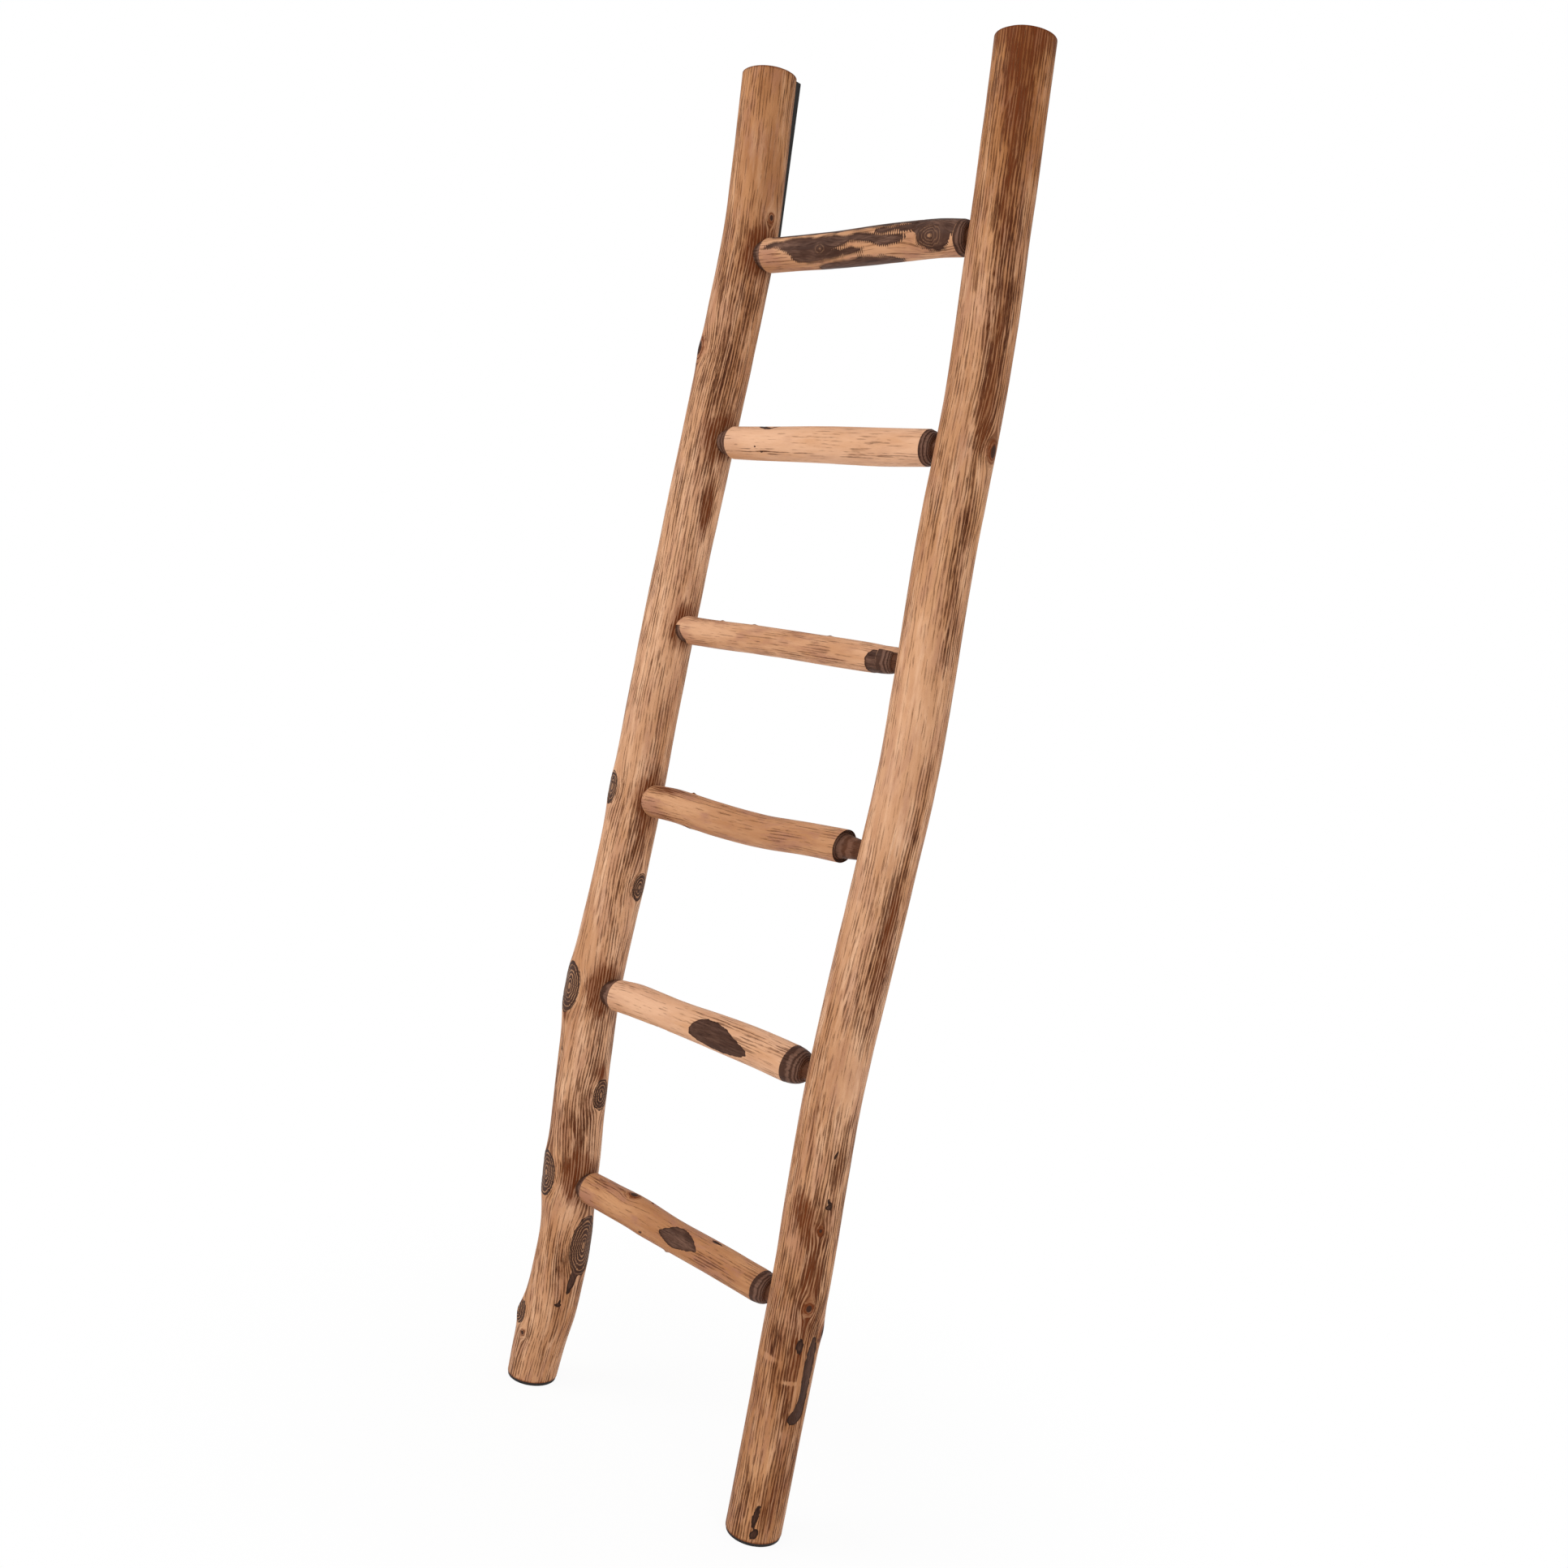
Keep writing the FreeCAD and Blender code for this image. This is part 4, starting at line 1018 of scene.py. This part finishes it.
class Shader(Nodes):
    """Nodes of one new material."""

    def __init__(self, name):
        self.material = bpy.data.materials.new(name)
        self.material.use_nodes = True
        super().__init__(self.material.node_tree)

    def mixed(self, share, first, second):
        """Colour between two colours."""
        made = self.node("ShaderNodeMix", data_type="RGBA", clamp_factor=True)
        for index, value in ((0, share), (6, first), (7, second)):
            if isinstance(value, tuple):
                value = (*value[:3], 1.0)
            self.put(made.inputs[index], value)
        return made.outputs[2]

    def scaled(self, vector, across, along):
        """Vector stretched differently across and along the log."""
        made = self.node("ShaderNodeVectorMath", {0: vector, 1: (across, across, along)},
                         operation="MULTIPLY")
        return made.outputs[0]

    def noise(self, vector, detail=2.0, roughness=0.5, distortion=0.0):
        """Noise from 0 to 1."""
        made = self.node("ShaderNodeTexNoise", {"Vector": vector, "Scale": 1.0,
                                                "Detail": detail, "Roughness": roughness,
                                                "Distortion": distortion})
        return made.outputs[0]

    def attribute(self, name):
        """Vector of a log's attribute."""
        return self.node("ShaderNodeAttribute", attribute_name=name).outputs["Vector"]

    def parts(self, vector):
        """The three numbers of a vector."""
        return self.node("ShaderNodeSeparateXYZ", {0: vector}).outputs

    def finish(self, colour, roughness, height, distance, **fixed):
        """Joins a plain shiny surface to the output."""
        bump = self.node("ShaderNodeBump", {"Height": height, "Distance": distance,
                                            "Strength": 1.0})
        surface = self.node("ShaderNodeBsdfPrincipled",
                            {"Base Color": colour, "Roughness": roughness,
                             "Normal": bump.outputs[0]})
        for label, value in fixed.items():
            surface.inputs[label.replace("_", " ")].default_value = value
        self.node("ShaderNodeOutputMaterial", {"Surface": surface.outputs[0]})
        return self.material


class LogShader(Shader):
    """Peeled, stained and lacquered log, as coats laid one over the other.

    flutes is how many flutes run round the log, sawn how dark its sawn edges and ground knots are,
    bloom how far it blushes, and baldness how light its barest places are.  A noise's sizes are
    lumps to a metre, across and along the grain."""

    def __init__(self, name, wood, flutes, sawn, bloom, baldness):
        super().__init__(name)
        self.wood = wood
        self.sawn, self.bloom, self.baldness = sawn, bloom, baldness
        self.grain = self.attribute("grain")
        self.cut, self.stain, self.streaks = self.parts(self.attribute("marks"))
        self.end, self.check, self.edge = self.parts(self.attribute("ends"))
        self.eye, self.chatter, self.tone = self.parts(self.attribute("extra"))
        self.patch = self.grain_noise(110.0, 18.0, 3.0, 0.6)
        self.fibre = self.grain_noise(900.0, 45.0, 2.0, 0.6)
        self.dash = self.grain_noise(520.0, 85.0, 2.0, 0.6, 0.2)
        self.wobble = self.times(self.grain_noise(130.0, 90.0, 3.0), 9.0)
        self.flute = self.fluted(flutes)
        self.inner, self.ring = self.knot_rings()

    def tint(self, name):
        """One of the wood's colours."""
        return tuple(getattr(self.wood, name))

    def coat(self, under, name, share):
        """Colour with a share of one of the wood's colours over it."""
        return self.mixed(share, under, self.tint(name))

    def grain_noise(self, across, along, *kind):
        """Noise that runs with the grain."""
        return self.noise(self.scaled(self.grain, across, along), *kind)

    def fluted(self, flutes):
        """Uneven flutes, each with its own run of streaks and a ridge to both sides of it."""
        forward, sideways, along = self.parts(self.grain)
        round_turn = self.math("ARCTAN2", sideways, forward)
        phase = self.line(self.grain_noise(24.0, 9.0, 2.0), 9.0, self.times(round_turn, flutes))
        phase = self.line(self.grain_noise(170.0, 16.0, 1.0), 7.0, phase)
        number = self.math("FLOOR", self.math("DIVIDE", phase, FULL_TURN))
        own_place = self.node("ShaderNodeCombineXYZ",
                              {0: self.times(number, FLUTE_APART), 1: self.times(along, 26.0)})
        own = self.noise(own_place.outputs[0], 3.0, 0.6)
        fine = self.grain_noise(800.0, 34.0, 2.0, 0.6)
        coarse = self.grain_noise(240.0, 14.0, 2.0)
        loose = self.line(fine, 2.0, self.line(coarse, 0.9, -2.35))
        loose = self.line(own, 1.8, loose)
        return self.line(self.math("COSINE", phase), -0.33, loose)

    def knot_rings(self):
        """Share of the way out of the nearest knot, and the waves of its rings."""
        up, across, half_width = self.parts(self.attribute("heart"))
        off = self.math("SQRT", self.plus(self.math("POWER", up, 2.0),
                                          self.math("POWER", across, 2.0)))
        ring = self.math("SINE", self.plus(self.times(off, RING_WAVE), self.wobble))
        return self.math("DIVIDE", off, half_width), ring

    def peeled(self):
        """Peeled wood from pale to red-brown, with bald places and a blush."""
        cool = self.mixed(self.tone, self.tint("pale"), self.tint("tan"))
        deep = self.mixed(self.tone, self.tint("warm"), self.tint("red"))
        broad = self.grain_noise(16.0, 4.0, 3.0)
        swing = self.line(self.tone, 0.10, self.line(self.patch, 0.35, -0.175))
        colour = self.mixed(self.above(self.plus(broad, swing), 0.53, 0.17), cool, deep)
        colour = self.mixed(self.times(self.above(self.fibre, 0.55, 0.2), 0.28), colour, deep)
        bald = self.above(self.grain_noise(85.0, 12.0, 4.0, 0.65), 0.57, 0.13)
        barely = self.line(self.tone, -0.65 * self.baldness, self.baldness)
        colour = self.coat(colour, "bald", self.times(bald, barely, clamp=True))
        blush = self.above(self.grain_noise(70.0, 22.0, 3.0, 0.6), 0.56, 0.12)
        bloomed = self.line(self.band(self.tone, -0.2, 0.5), self.bloom, 0.2)
        return self.coat(colour, "mauve", self.times(blush, bloomed))

    def streaked(self, colour):
        """Dark broken streaks in the flutes, thick in some zones and gone in others.

        Returns the colour, the streaks and their deepest parts."""
        zone = self.grain_noise(48.0, 10.0, 3.0, 0.6)
        dense = self.plus(self.line(zone, 1.6, -0.35),
                          self.line(self.tone, 0.15, self.times(self.streaks, 0.5)), clamp=True)
        lines = self.line(dense, 0.62, self.flute)
        streak = self.band(lines, 0.36, 0.66)
        bead = self.line(self.above(self.dash, 0.50, 0.12), 0.45, 0.55)
        deep = self.times(self.band(lines, 0.56, 0.80), bead)
        colour = self.coat(colour, "brown", self.times(self.above(dense, 0.75, 0.25), 0.22))
        colour = self.coat(colour, "brown", self.times(streak, self.line(dense, 0.5, 0.2)))
        colour = self.coat(colour, "streak", self.times(deep, self.line(dense, 0.76, 0.18)))
        return colour, streak, deep

    def stained(self, colour):
        """Ragged brown stain round the joints and knots, strongest in the flutes."""
        ragged = self.plus(self.line(self.dash, 1.0, -0.5), self.line(self.patch, 0.9, -0.45))
        share = self.band(self.plus(self.stain, ragged), 0.3, 1.0)
        return self.coat(colour, "stain",
                         self.times(share, self.band(self.flute, -0.25, 0.3, 0.5, 0.95)))

    def eyed(self, colour):
        """Rings and dark cores of the knots that aren't ground."""
        ringed = self.times(self.eye, self.band(self.inner, 0.85, 0.6))
        colour = self.coat(colour, "stain",
                           self.times(ringed, self.band(self.ring, -0.3, 0.7, 0.25, 1.0)))
        return self.coat(colour, "knot", self.times(self.eye, self.band(self.inner, 0.46, 0.32)))

    def ground_share(self):
        """1 on ground and hewn places, with ragged edges and the teeth of a chattering blade."""
        along = self.parts(self.grain)[2]
        teeth = self.line(self.math("SINE", self.times(along, CHATTER_WAVE)), 1.8, 0.5)
        jagged = self.line(self.grain_noise(260.0, 130.0, 3.0), 4.5, -2.25)
        broad = self.line(self.grain_noise(120.0, 50.0, 2.0), 12.0, -6.0)
        edge = self.plus(self.cut, self.line(broad, self.chatter, jagged))
        return self.band(self.plus(edge, self.times(self.chatter, teeth)), -0.15, 0.25)

    def ground_wood(self):
        """Ground and hewn wood, which takes the stain all over, with the rings of its knots."""
        colour = self.mixed(self.above(self.patch, 0.5, 0.2), self.tint("knot"),
                            self.tint("ground"))
        colour = self.coat(colour, "knot", self.times(self.above(self.dash, 0.52, 0.1), 0.6))
        rim = self.times(self.band(self.cut, 2.6, 1.2), 0.8)
        dark = self.plus(self.band(self.tone, 0.3, -0.1, 0.0, 0.45), 0.55 * self.sawn, clamp=True)
        colour = self.coat(colour, "knot", self.math("MAXIMUM", rim, dark))
        colour = self.coat(colour, "dark_rim_and_check_shade", self.times(rim, 0.75 * self.sawn))
        ringed = self.band(self.inner, 1.05, 0.85)
        broken = self.above(self.grain_noise(330.0, 330.0, 2.0), 0.42, 0.12)
        rings = self.times(self.times(self.band(self.ring, 0.4, 0.95), broken), ringed)
        colour = self.coat(colour, "knot", self.times(ringed, 0.45))
        colour = self.coat(colour, "ring", self.times(rings, 0.3 + 0.7 * self.sawn))
        pith = self.times(self.times(self.band(self.inner, 0.16, 0.08), ringed), 0.6)
        return self.coat(colour, "ring", pith)

    def ended(self, colour, turned):
        """Turned shoulders, sawn rims and ends, and painted shade inside the drying checks."""
        end = self.mixed(self.band(turned, -0.8, 0.6, 0.15, 1.0), self.tint("knot"),
                         self.tint("ground"))
        end = self.coat(end, "brown", self.times(self.band(self.edge, 0.55, 0.9), 0.3))
        sawn_rim = self.band(self.line(self.dash, 0.006, self.edge), 0.0065, 0.0035, 0.0,
                             self.sawn)
        colour = self.coat(colour, "stain", sawn_rim)
        colour = self.mixed(self.band(self.end, 0.4, 0.6), colour, end)
        # painted shade: the drying checks are coloured near black to stand in for the shade inside
        # the narrow cracks
        return self.coat(colour, "dark_rim_and_check_shade", self.band(self.check, 0.35, 0.7))

    def build(self):
        """Lays on the coats and returns the material."""
        colour, streak, deep = self.streaked(self.peeled())
        ground = self.ground_share()
        colour = self.mixed(ground, self.eyed(self.stained(colour)), self.ground_wood())
        turned = self.math("SINE", self.plus(self.times(self.edge, TURNING_WAVE),
                                             self.times(self.wobble, 0.6)))
        colour = self.ended(colour, turned)
        height = self.plus(self.times(streak, -0.5), self.times(self.fibre, 0.3))
        for value, rise in ((deep, -0.5), (self.times(self.end, turned), 0.3), (ground, -0.5)):
            height = self.plus(height, self.times(value, rise))
        gloss = self.band(self.patch, 0.3, 0.8, self.wood.shine - 0.06, self.wood.shine + 0.12)
        return self.finish(colour, gloss, height, GRAIN_RELIEF, Specular_IOR_Level=0.08)


def rubber_material(name, colour, speckle):
    """Matt moulded rubber with a fine pebble."""
    shader = Shader(name)
    place = shader.node("ShaderNodeTexCoord").outputs["Object"]
    pebble = shader.noise(shader.scaled(place, 1400.0, 1400.0), 2.0)
    dust = shader.noise(shader.scaled(place, 45.0, 20.0), 4.0)
    dusty = shader.times(shader.band(dust, 0.45, 0.75), 0.4)
    shade = shader.mixed(dusty, tuple(colour), tuple(speckle))
    matt = shader.band(dust, 0.3, 0.8, 0.62, 0.8)
    return shader.finish(shade, matt, pebble, PEBBLE_RELIEF, Specular_IOR_Level=0.3)


def zinc_material(name, bright, dull):
    """Dark zinc-plated steel, brushed by handling."""
    shader = Shader(name)
    place = shader.node("ShaderNodeTexCoord").outputs["Object"]
    cloud = shader.noise(shader.scaled(place, 260.0, 260.0), 3.0)
    scratch = shader.noise(shader.scaled(place, 2600.0, 300.0), 1.0)
    shade = shader.mixed(shader.band(cloud, 0.35, 0.7), tuple(bright), tuple(dull))
    brushed = shader.band(scratch, 0.3, 0.7, 0.28, 0.5)
    return shader.finish(shade, brushed, scratch, SCRATCH_RELIEF, Metallic=1.0)


# ---------------------------------------------------------------------------------------- settings
def colour_setting(label, text, red, green, blue):
    """Colour that a user may change."""
    return bpy.props.FloatVectorProperty(name=label, description=text, subtype="COLOR", size=3,
                                         min=0.0, max=1.0, default=srgb(red, green, blue))


class LadderWood(bpy.types.PropertyGroup):
    """Colours and sheen of the wood."""
    pale: colour_setting("Pale wood", "Bald peeled sapwood", 227, 178, 143)
    bald: colour_setting("Bald wood", "Barest places of the peeled wood", 246, 200, 164)
    warm: colour_setting("Warm wood", "Orange-tan peeled wood", 206, 151, 110)
    tan: colour_setting("Tan wood", "Paler parts of the darker lengths", 190, 131, 80)
    red: colour_setting("Red wood", "Darker parts of the darker lengths", 148, 91, 49)
    mauve: colour_setting("Blush", "Greyish pink bloom of the lacquer", 168, 116, 94)
    brown: colour_setting("Brown", "Inner bark left under the streaks", 122, 68, 32)
    streak: colour_setting("Streaks", "Broken streaks of inner bark", 60, 22, 4)
    stain: colour_setting("Stain", "Halo round joints and knots", 108, 52, 20)
    knot: colour_setting("Knot", "Darkest ground wood", 66, 40, 29)
    ground: colour_setting("Ground wood", "Lighter parts of ground and turned wood", 118, 86, 71)
    ring: colour_setting("Rings", "Pale ring lines of ground knots", 186, 138, 102)
    # Near-black colour: painted shade inside the drying checks, and also the dark rims of ground
    # places
    dark_rim_and_check_shade: colour_setting("Cracks", "Inside of a drying check", 34, 20, 14)
    shine: bpy.props.FloatProperty(name="Roughness", description="Roughness of the lacquer",
                                   subtype="FACTOR", min=0.0, max=1.0, default=0.5)


class LadderLogs(bpy.types.PropertyGroup):
    """How finely the logs are meshed."""
    rail_columns: bpy.props.IntProperty(name="Rail columns", default=104, min=24,
                                        description="Points round a rail")
    rail_rows: bpy.props.IntProperty(name="Rail rings", default=900, min=50,
                                     description="Rings of points along a rail")
    rung_columns: bpy.props.IntProperty(name="Rung columns", default=96, min=24,
                                        description="Points round a rung")
    rung_rows: bpy.props.IntProperty(name="Rung rings", default=280, min=20,
                                     description="Rings of points along a rung's full width")


class LadderFittings(bpy.types.PropertyGroup):
    """Colours of the pads and screws."""
    rubber: colour_setting("Rubber", "Pads", 34, 30, 29)
    dust: colour_setting("Dust", "Dust on the pads", 66, 60, 56)
    zinc: colour_setting("Zinc", "Bright zinc of the screws", 168, 162, 150)
    dull_zinc: colour_setting("Dull zinc", "Dull zinc of the screws", 108, 102, 92)


class LadderStudio(bpy.types.PropertyGroup):
    """Camera, lamps and floor."""
    camera_place: bpy.props.FloatVectorProperty(
        name="Camera place", description="From the middle of the rails' plane on the floor",
        subtype="TRANSLATION", unit="LENGTH", size=3, default=(1.3621, -1.4982, 1.0727))
    camera_turn: bpy.props.FloatProperty(
        name="Camera turn", description="Turn of the view to the left of straight back",
        subtype="ANGLE", default=math.radians(41.4307))
    camera_dip: bpy.props.FloatProperty(
        name="Camera dip", description="How far the view looks down", subtype="ANGLE",
        default=math.radians(4.5382))
    camera_roll: bpy.props.FloatProperty(
        name="Camera roll", description="Roll that makes the ladder lean in the picture",
        subtype="ANGLE", default=math.radians(10.7922))
    lens: bpy.props.FloatProperty(name="Lens", description="Focal length in millimetres",
                                  unit="CAMERA", min=10.0, default=36.095)
    key_power: bpy.props.FloatProperty(name="Key lamp", description="Power of the key lamp",
                                       unit="POWER", min=0.0, default=66.0)
    fill_power: bpy.props.FloatProperty(name="Fill lamp", description="Power of the fill lamp",
                                        unit="POWER", min=0.0, default=32.0)
    ambient: bpy.props.FloatProperty(name="Ambient", description="Strength of the even light",
                                     min=0.0, default=0.66)
    backdrop: colour_setting("Backdrop", "Floor and background", 255, 255, 255)


# --------------------------------------------------------------------------------------- operators
class LADDER_OT_rails(bpy.types.Operator):
    """Add the two peeled log rails"""
    bl_idname = "ladder.rails"
    bl_label = "Add the rails"

    def execute(self, context):
        scene = context.scene
        finish = LogShader("rail_wood", scene.ladder_wood, **RAIL_FINISH).build()
        for side, node in ((-1, "left_rail"), (+1, "right_rail")):
            points, data = rail_points(side, scene.ladder_logs)
            rail = write_log("peeled_" + node, points, data, FULL_TURN * RAIL_RADIUS, 3)
            rail.data.materials.append(finish)
            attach(rail, "root")
            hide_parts(node)
        return {"FINISHED"}


class LADDER_OT_rungs(bpy.types.Operator):
    """Add the six log rungs with their turned ends"""
    bl_idname = "ladder.rungs"
    bl_label = "Add the rungs"

    def execute(self, context):
        scene = context.scene
        finish = LogShader("rung_wood", scene.ladder_wood, **RUNG_FINISH).build()
        for number, form in enumerate(RUNGS):
            points, data = Rung(number).points(scene.ladder_logs)
            girth = math.pi * sum(form["diameters"]) / 2.0
            node = "rung_%d" % (number + 1)
            rung = write_log("peeled_" + node, points, data, girth, 2)
            rung.data.materials.append(finish)
            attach(rung, "root")
            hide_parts(node)
        return {"FINISHED"}


def dress(node, material):
    """Gives a fixed node its finish."""
    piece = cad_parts[node]
    if not piece.material_slots:
        piece.data.materials.append(material)
    for slot in piece.material_slots:
        slot.material = material


class LADDER_OT_pads(bpy.types.Operator):
    """Finish the foot pads and the wall pads"""
    bl_idname = "ladder.pads"
    bl_label = "Finish the pads"

    def execute(self, context):
        colours = context.scene.ladder_fittings
        finish = rubber_material("pad_rubber", colours.rubber, colours.dust)
        for node in ("left_foot_pad", "right_foot_pad", "left_wall_pad", "right_wall_pad"):
            dress(node, finish)
        return {"FINISHED"}


class LADDER_OT_screws(bpy.types.Operator):
    """Finish the screws that lock the tenons"""
    bl_idname = "ladder.screws"
    bl_label = "Finish the screws"

    def execute(self, context):
        colours = context.scene.ladder_fittings
        dress("tenon_screws", zinc_material("screw_zinc", colours.zinc, colours.dull_zinc))
        return {"FINISHED"}


class LADDER_OT_studio(bpy.types.Operator):
    """Add the floor, the lamps and the camera"""
    bl_idname = "ladder.studio"
    bl_label = "Add the studio"

    def execute(self, context):
        scene = context.scene
        studio = scene.ladder_studio
        self.add_camera(scene, studio)
        self.add_floor(studio)
        self.add_lamps(studio)
        self.set_world(scene, studio)
        scene.view_settings.view_transform = "Standard"
        return {"FINISHED"}

    def add_camera(self, scene, studio):
        """Camera at the picture's viewing angle."""
        lens = bpy.data.cameras.new("camera")
        lens.lens = studio.lens
        lens.sensor_width = SENSOR
        camera = bpy.data.objects.new("camera", lens)
        scene.collection.objects.link(camera)
        place = Vector(studio.camera_place) + Vector(SHIFT * MM)
        turn = (Matrix.Rotation(studio.camera_turn, 4, "Z")
                @ Matrix.Rotation(math.pi / 2.0 - studio.camera_dip, 4, "X")
                @ Matrix.Rotation(studio.camera_roll, 4, "Z"))
        camera.matrix_world = Matrix.Translation(place) @ turn
        scene.camera = camera

    def add_floor(self, studio):
        """Wide pale floor that stays white to the camera and keeps the ladder's shadow."""
        corners = [(x * FLOOR_HALF, y * FLOOR_HALF, 0)
                   for x, y in ((-1, -1), (1, -1), (1, 1), (-1, 1))]
        mesh = bpy.data.meshes.new("floor")
        mesh.from_pydata(corners, [], [(0, 1, 2, 3)])
        floor = bpy.data.objects.new("floor", mesh)
        bpy.context.scene.collection.objects.link(floor)
        shader = Shader("floor_white")
        colour = (*studio.backdrop, 1.0)
        plain = shader.node("ShaderNodeBsdfDiffuse", {"Color": colour}).outputs[0]
        glow = shader.node("ShaderNodeEmission", {"Color": colour, "Strength": 1.0}).outputs[0]
        path = shader.node("ShaderNodeLightPath").outputs
        mirrored = shader.math("MAXIMUM", path["Is Glossy Ray"], path["Is Transmission Ray"])
        seen = shader.math("MAXIMUM", path["Is Camera Ray"], mirrored)
        place = shader.node("ShaderNodeTexCoord").outputs["Object"]
        away = shader.node("ShaderNodeVectorMath", {0: place}, operation="LENGTH").outputs["Value"]
        share = shader.times(seen, shader.band(away, 0.25, 0.9, 0.92, 1.0))
        both = shader.node("ShaderNodeMixShader", {0: share, 1: plain, 2: glow}).outputs[0]
        shader.node("ShaderNodeOutputMaterial", {"Surface": both})
        mesh.materials.append(shader.material)

    def add_lamps(self, studio):
        """One large soft key from the front left and a softer fill from the right."""
        for name, place, power in (("key_lamp", (-2.2, -3.2, 2.9), studio.key_power),
                                   ("fill_lamp", (3.2, -1.6, 2.2), studio.fill_power)):
            light = bpy.data.lights.new(name, "AREA")
            light.size = LAMP_SIZE
            light.energy = power
            lamp = bpy.data.objects.new(name, light)
            bpy.context.scene.collection.objects.link(lamp)
            aim = Vector(LAMP_AIM) - Vector(place)
            lamp.location = place
            lamp.rotation_mode = "QUATERNION"
            lamp.rotation_quaternion = aim.to_track_quat("-Z", "Y")

    def set_world(self, scene, studio):
        """Even light all round, seen as white."""
        world = bpy.data.worlds.new("studio_world")
        world.use_nodes = True
        nodes = Nodes(world.node_tree)
        even, white = (
            nodes.node("ShaderNodeBackground", {"Color": colour, "Strength": strength}).outputs[0]
            for colour, strength in (((1.0, 1.0, 1.0, 1.0), studio.ambient),
                                     ((*studio.backdrop, 1.0), 1.0)))
        path = nodes.node("ShaderNodeLightPath").outputs
        seen = nodes.math("MAXIMUM", path["Is Camera Ray"], path["Is Transmission Ray"])
        both = nodes.node("ShaderNodeMixShader", {0: seen, 1: even, 2: white}).outputs[0]
        nodes.node("ShaderNodeOutputWorld", {"Surface": both})
        scene.world = world


OPERATORS = (LADDER_OT_studio, LADDER_OT_rails, LADDER_OT_rungs, LADDER_OT_pads, LADDER_OT_screws)
GROUPS = {"ladder_wood": LadderWood, "ladder_logs": LadderLogs,
          "ladder_fittings": LadderFittings, "ladder_studio": LadderStudio}


class LADDER_PT_panel(bpy.types.Panel):
    """Sidebar panel with one button for each group of pieces"""
    bl_idname = "LADDER_PT_panel"
    bl_label = "Log ladder"
    bl_space_type = "VIEW_3D"
    bl_region_type = "UI"
    bl_category = "Log ladder"

    def draw(self, context):
        for operator in OPERATORS:
            self.layout.operator(operator.bl_idname)
        for label, group in GROUPS.items():
            box = self.layout.box()
            for setting in group.__annotations__:
                box.prop(getattr(context.scene, label), setting)


def register():
    """Registers the settings, the operators and the panel."""
    for label, group in GROUPS.items():
        bpy.utils.register_class(group)
        setattr(bpy.types.Scene, label, bpy.props.PointerProperty(type=group))
    for each in (*OPERATORS, LADDER_PT_panel):
        bpy.utils.register_class(each)


def unregister():
    """Takes them all away again."""
    for each in (LADDER_PT_panel, *reversed(OPERATORS)):
        bpy.utils.unregister_class(each)
    for label, group in GROUPS.items():
        delattr(bpy.types.Scene, label)
        bpy.utils.unregister_class(group)


def main():
    """Builds the ladder's looks round the frame."""
    register()
    bpy.ops.ladder.studio()
    bpy.ops.ladder.rails()
    bpy.ops.ladder.rungs()
    bpy.ops.ladder.pads()
    bpy.ops.ladder.screws()


if __name__ == "__main__":
    main()
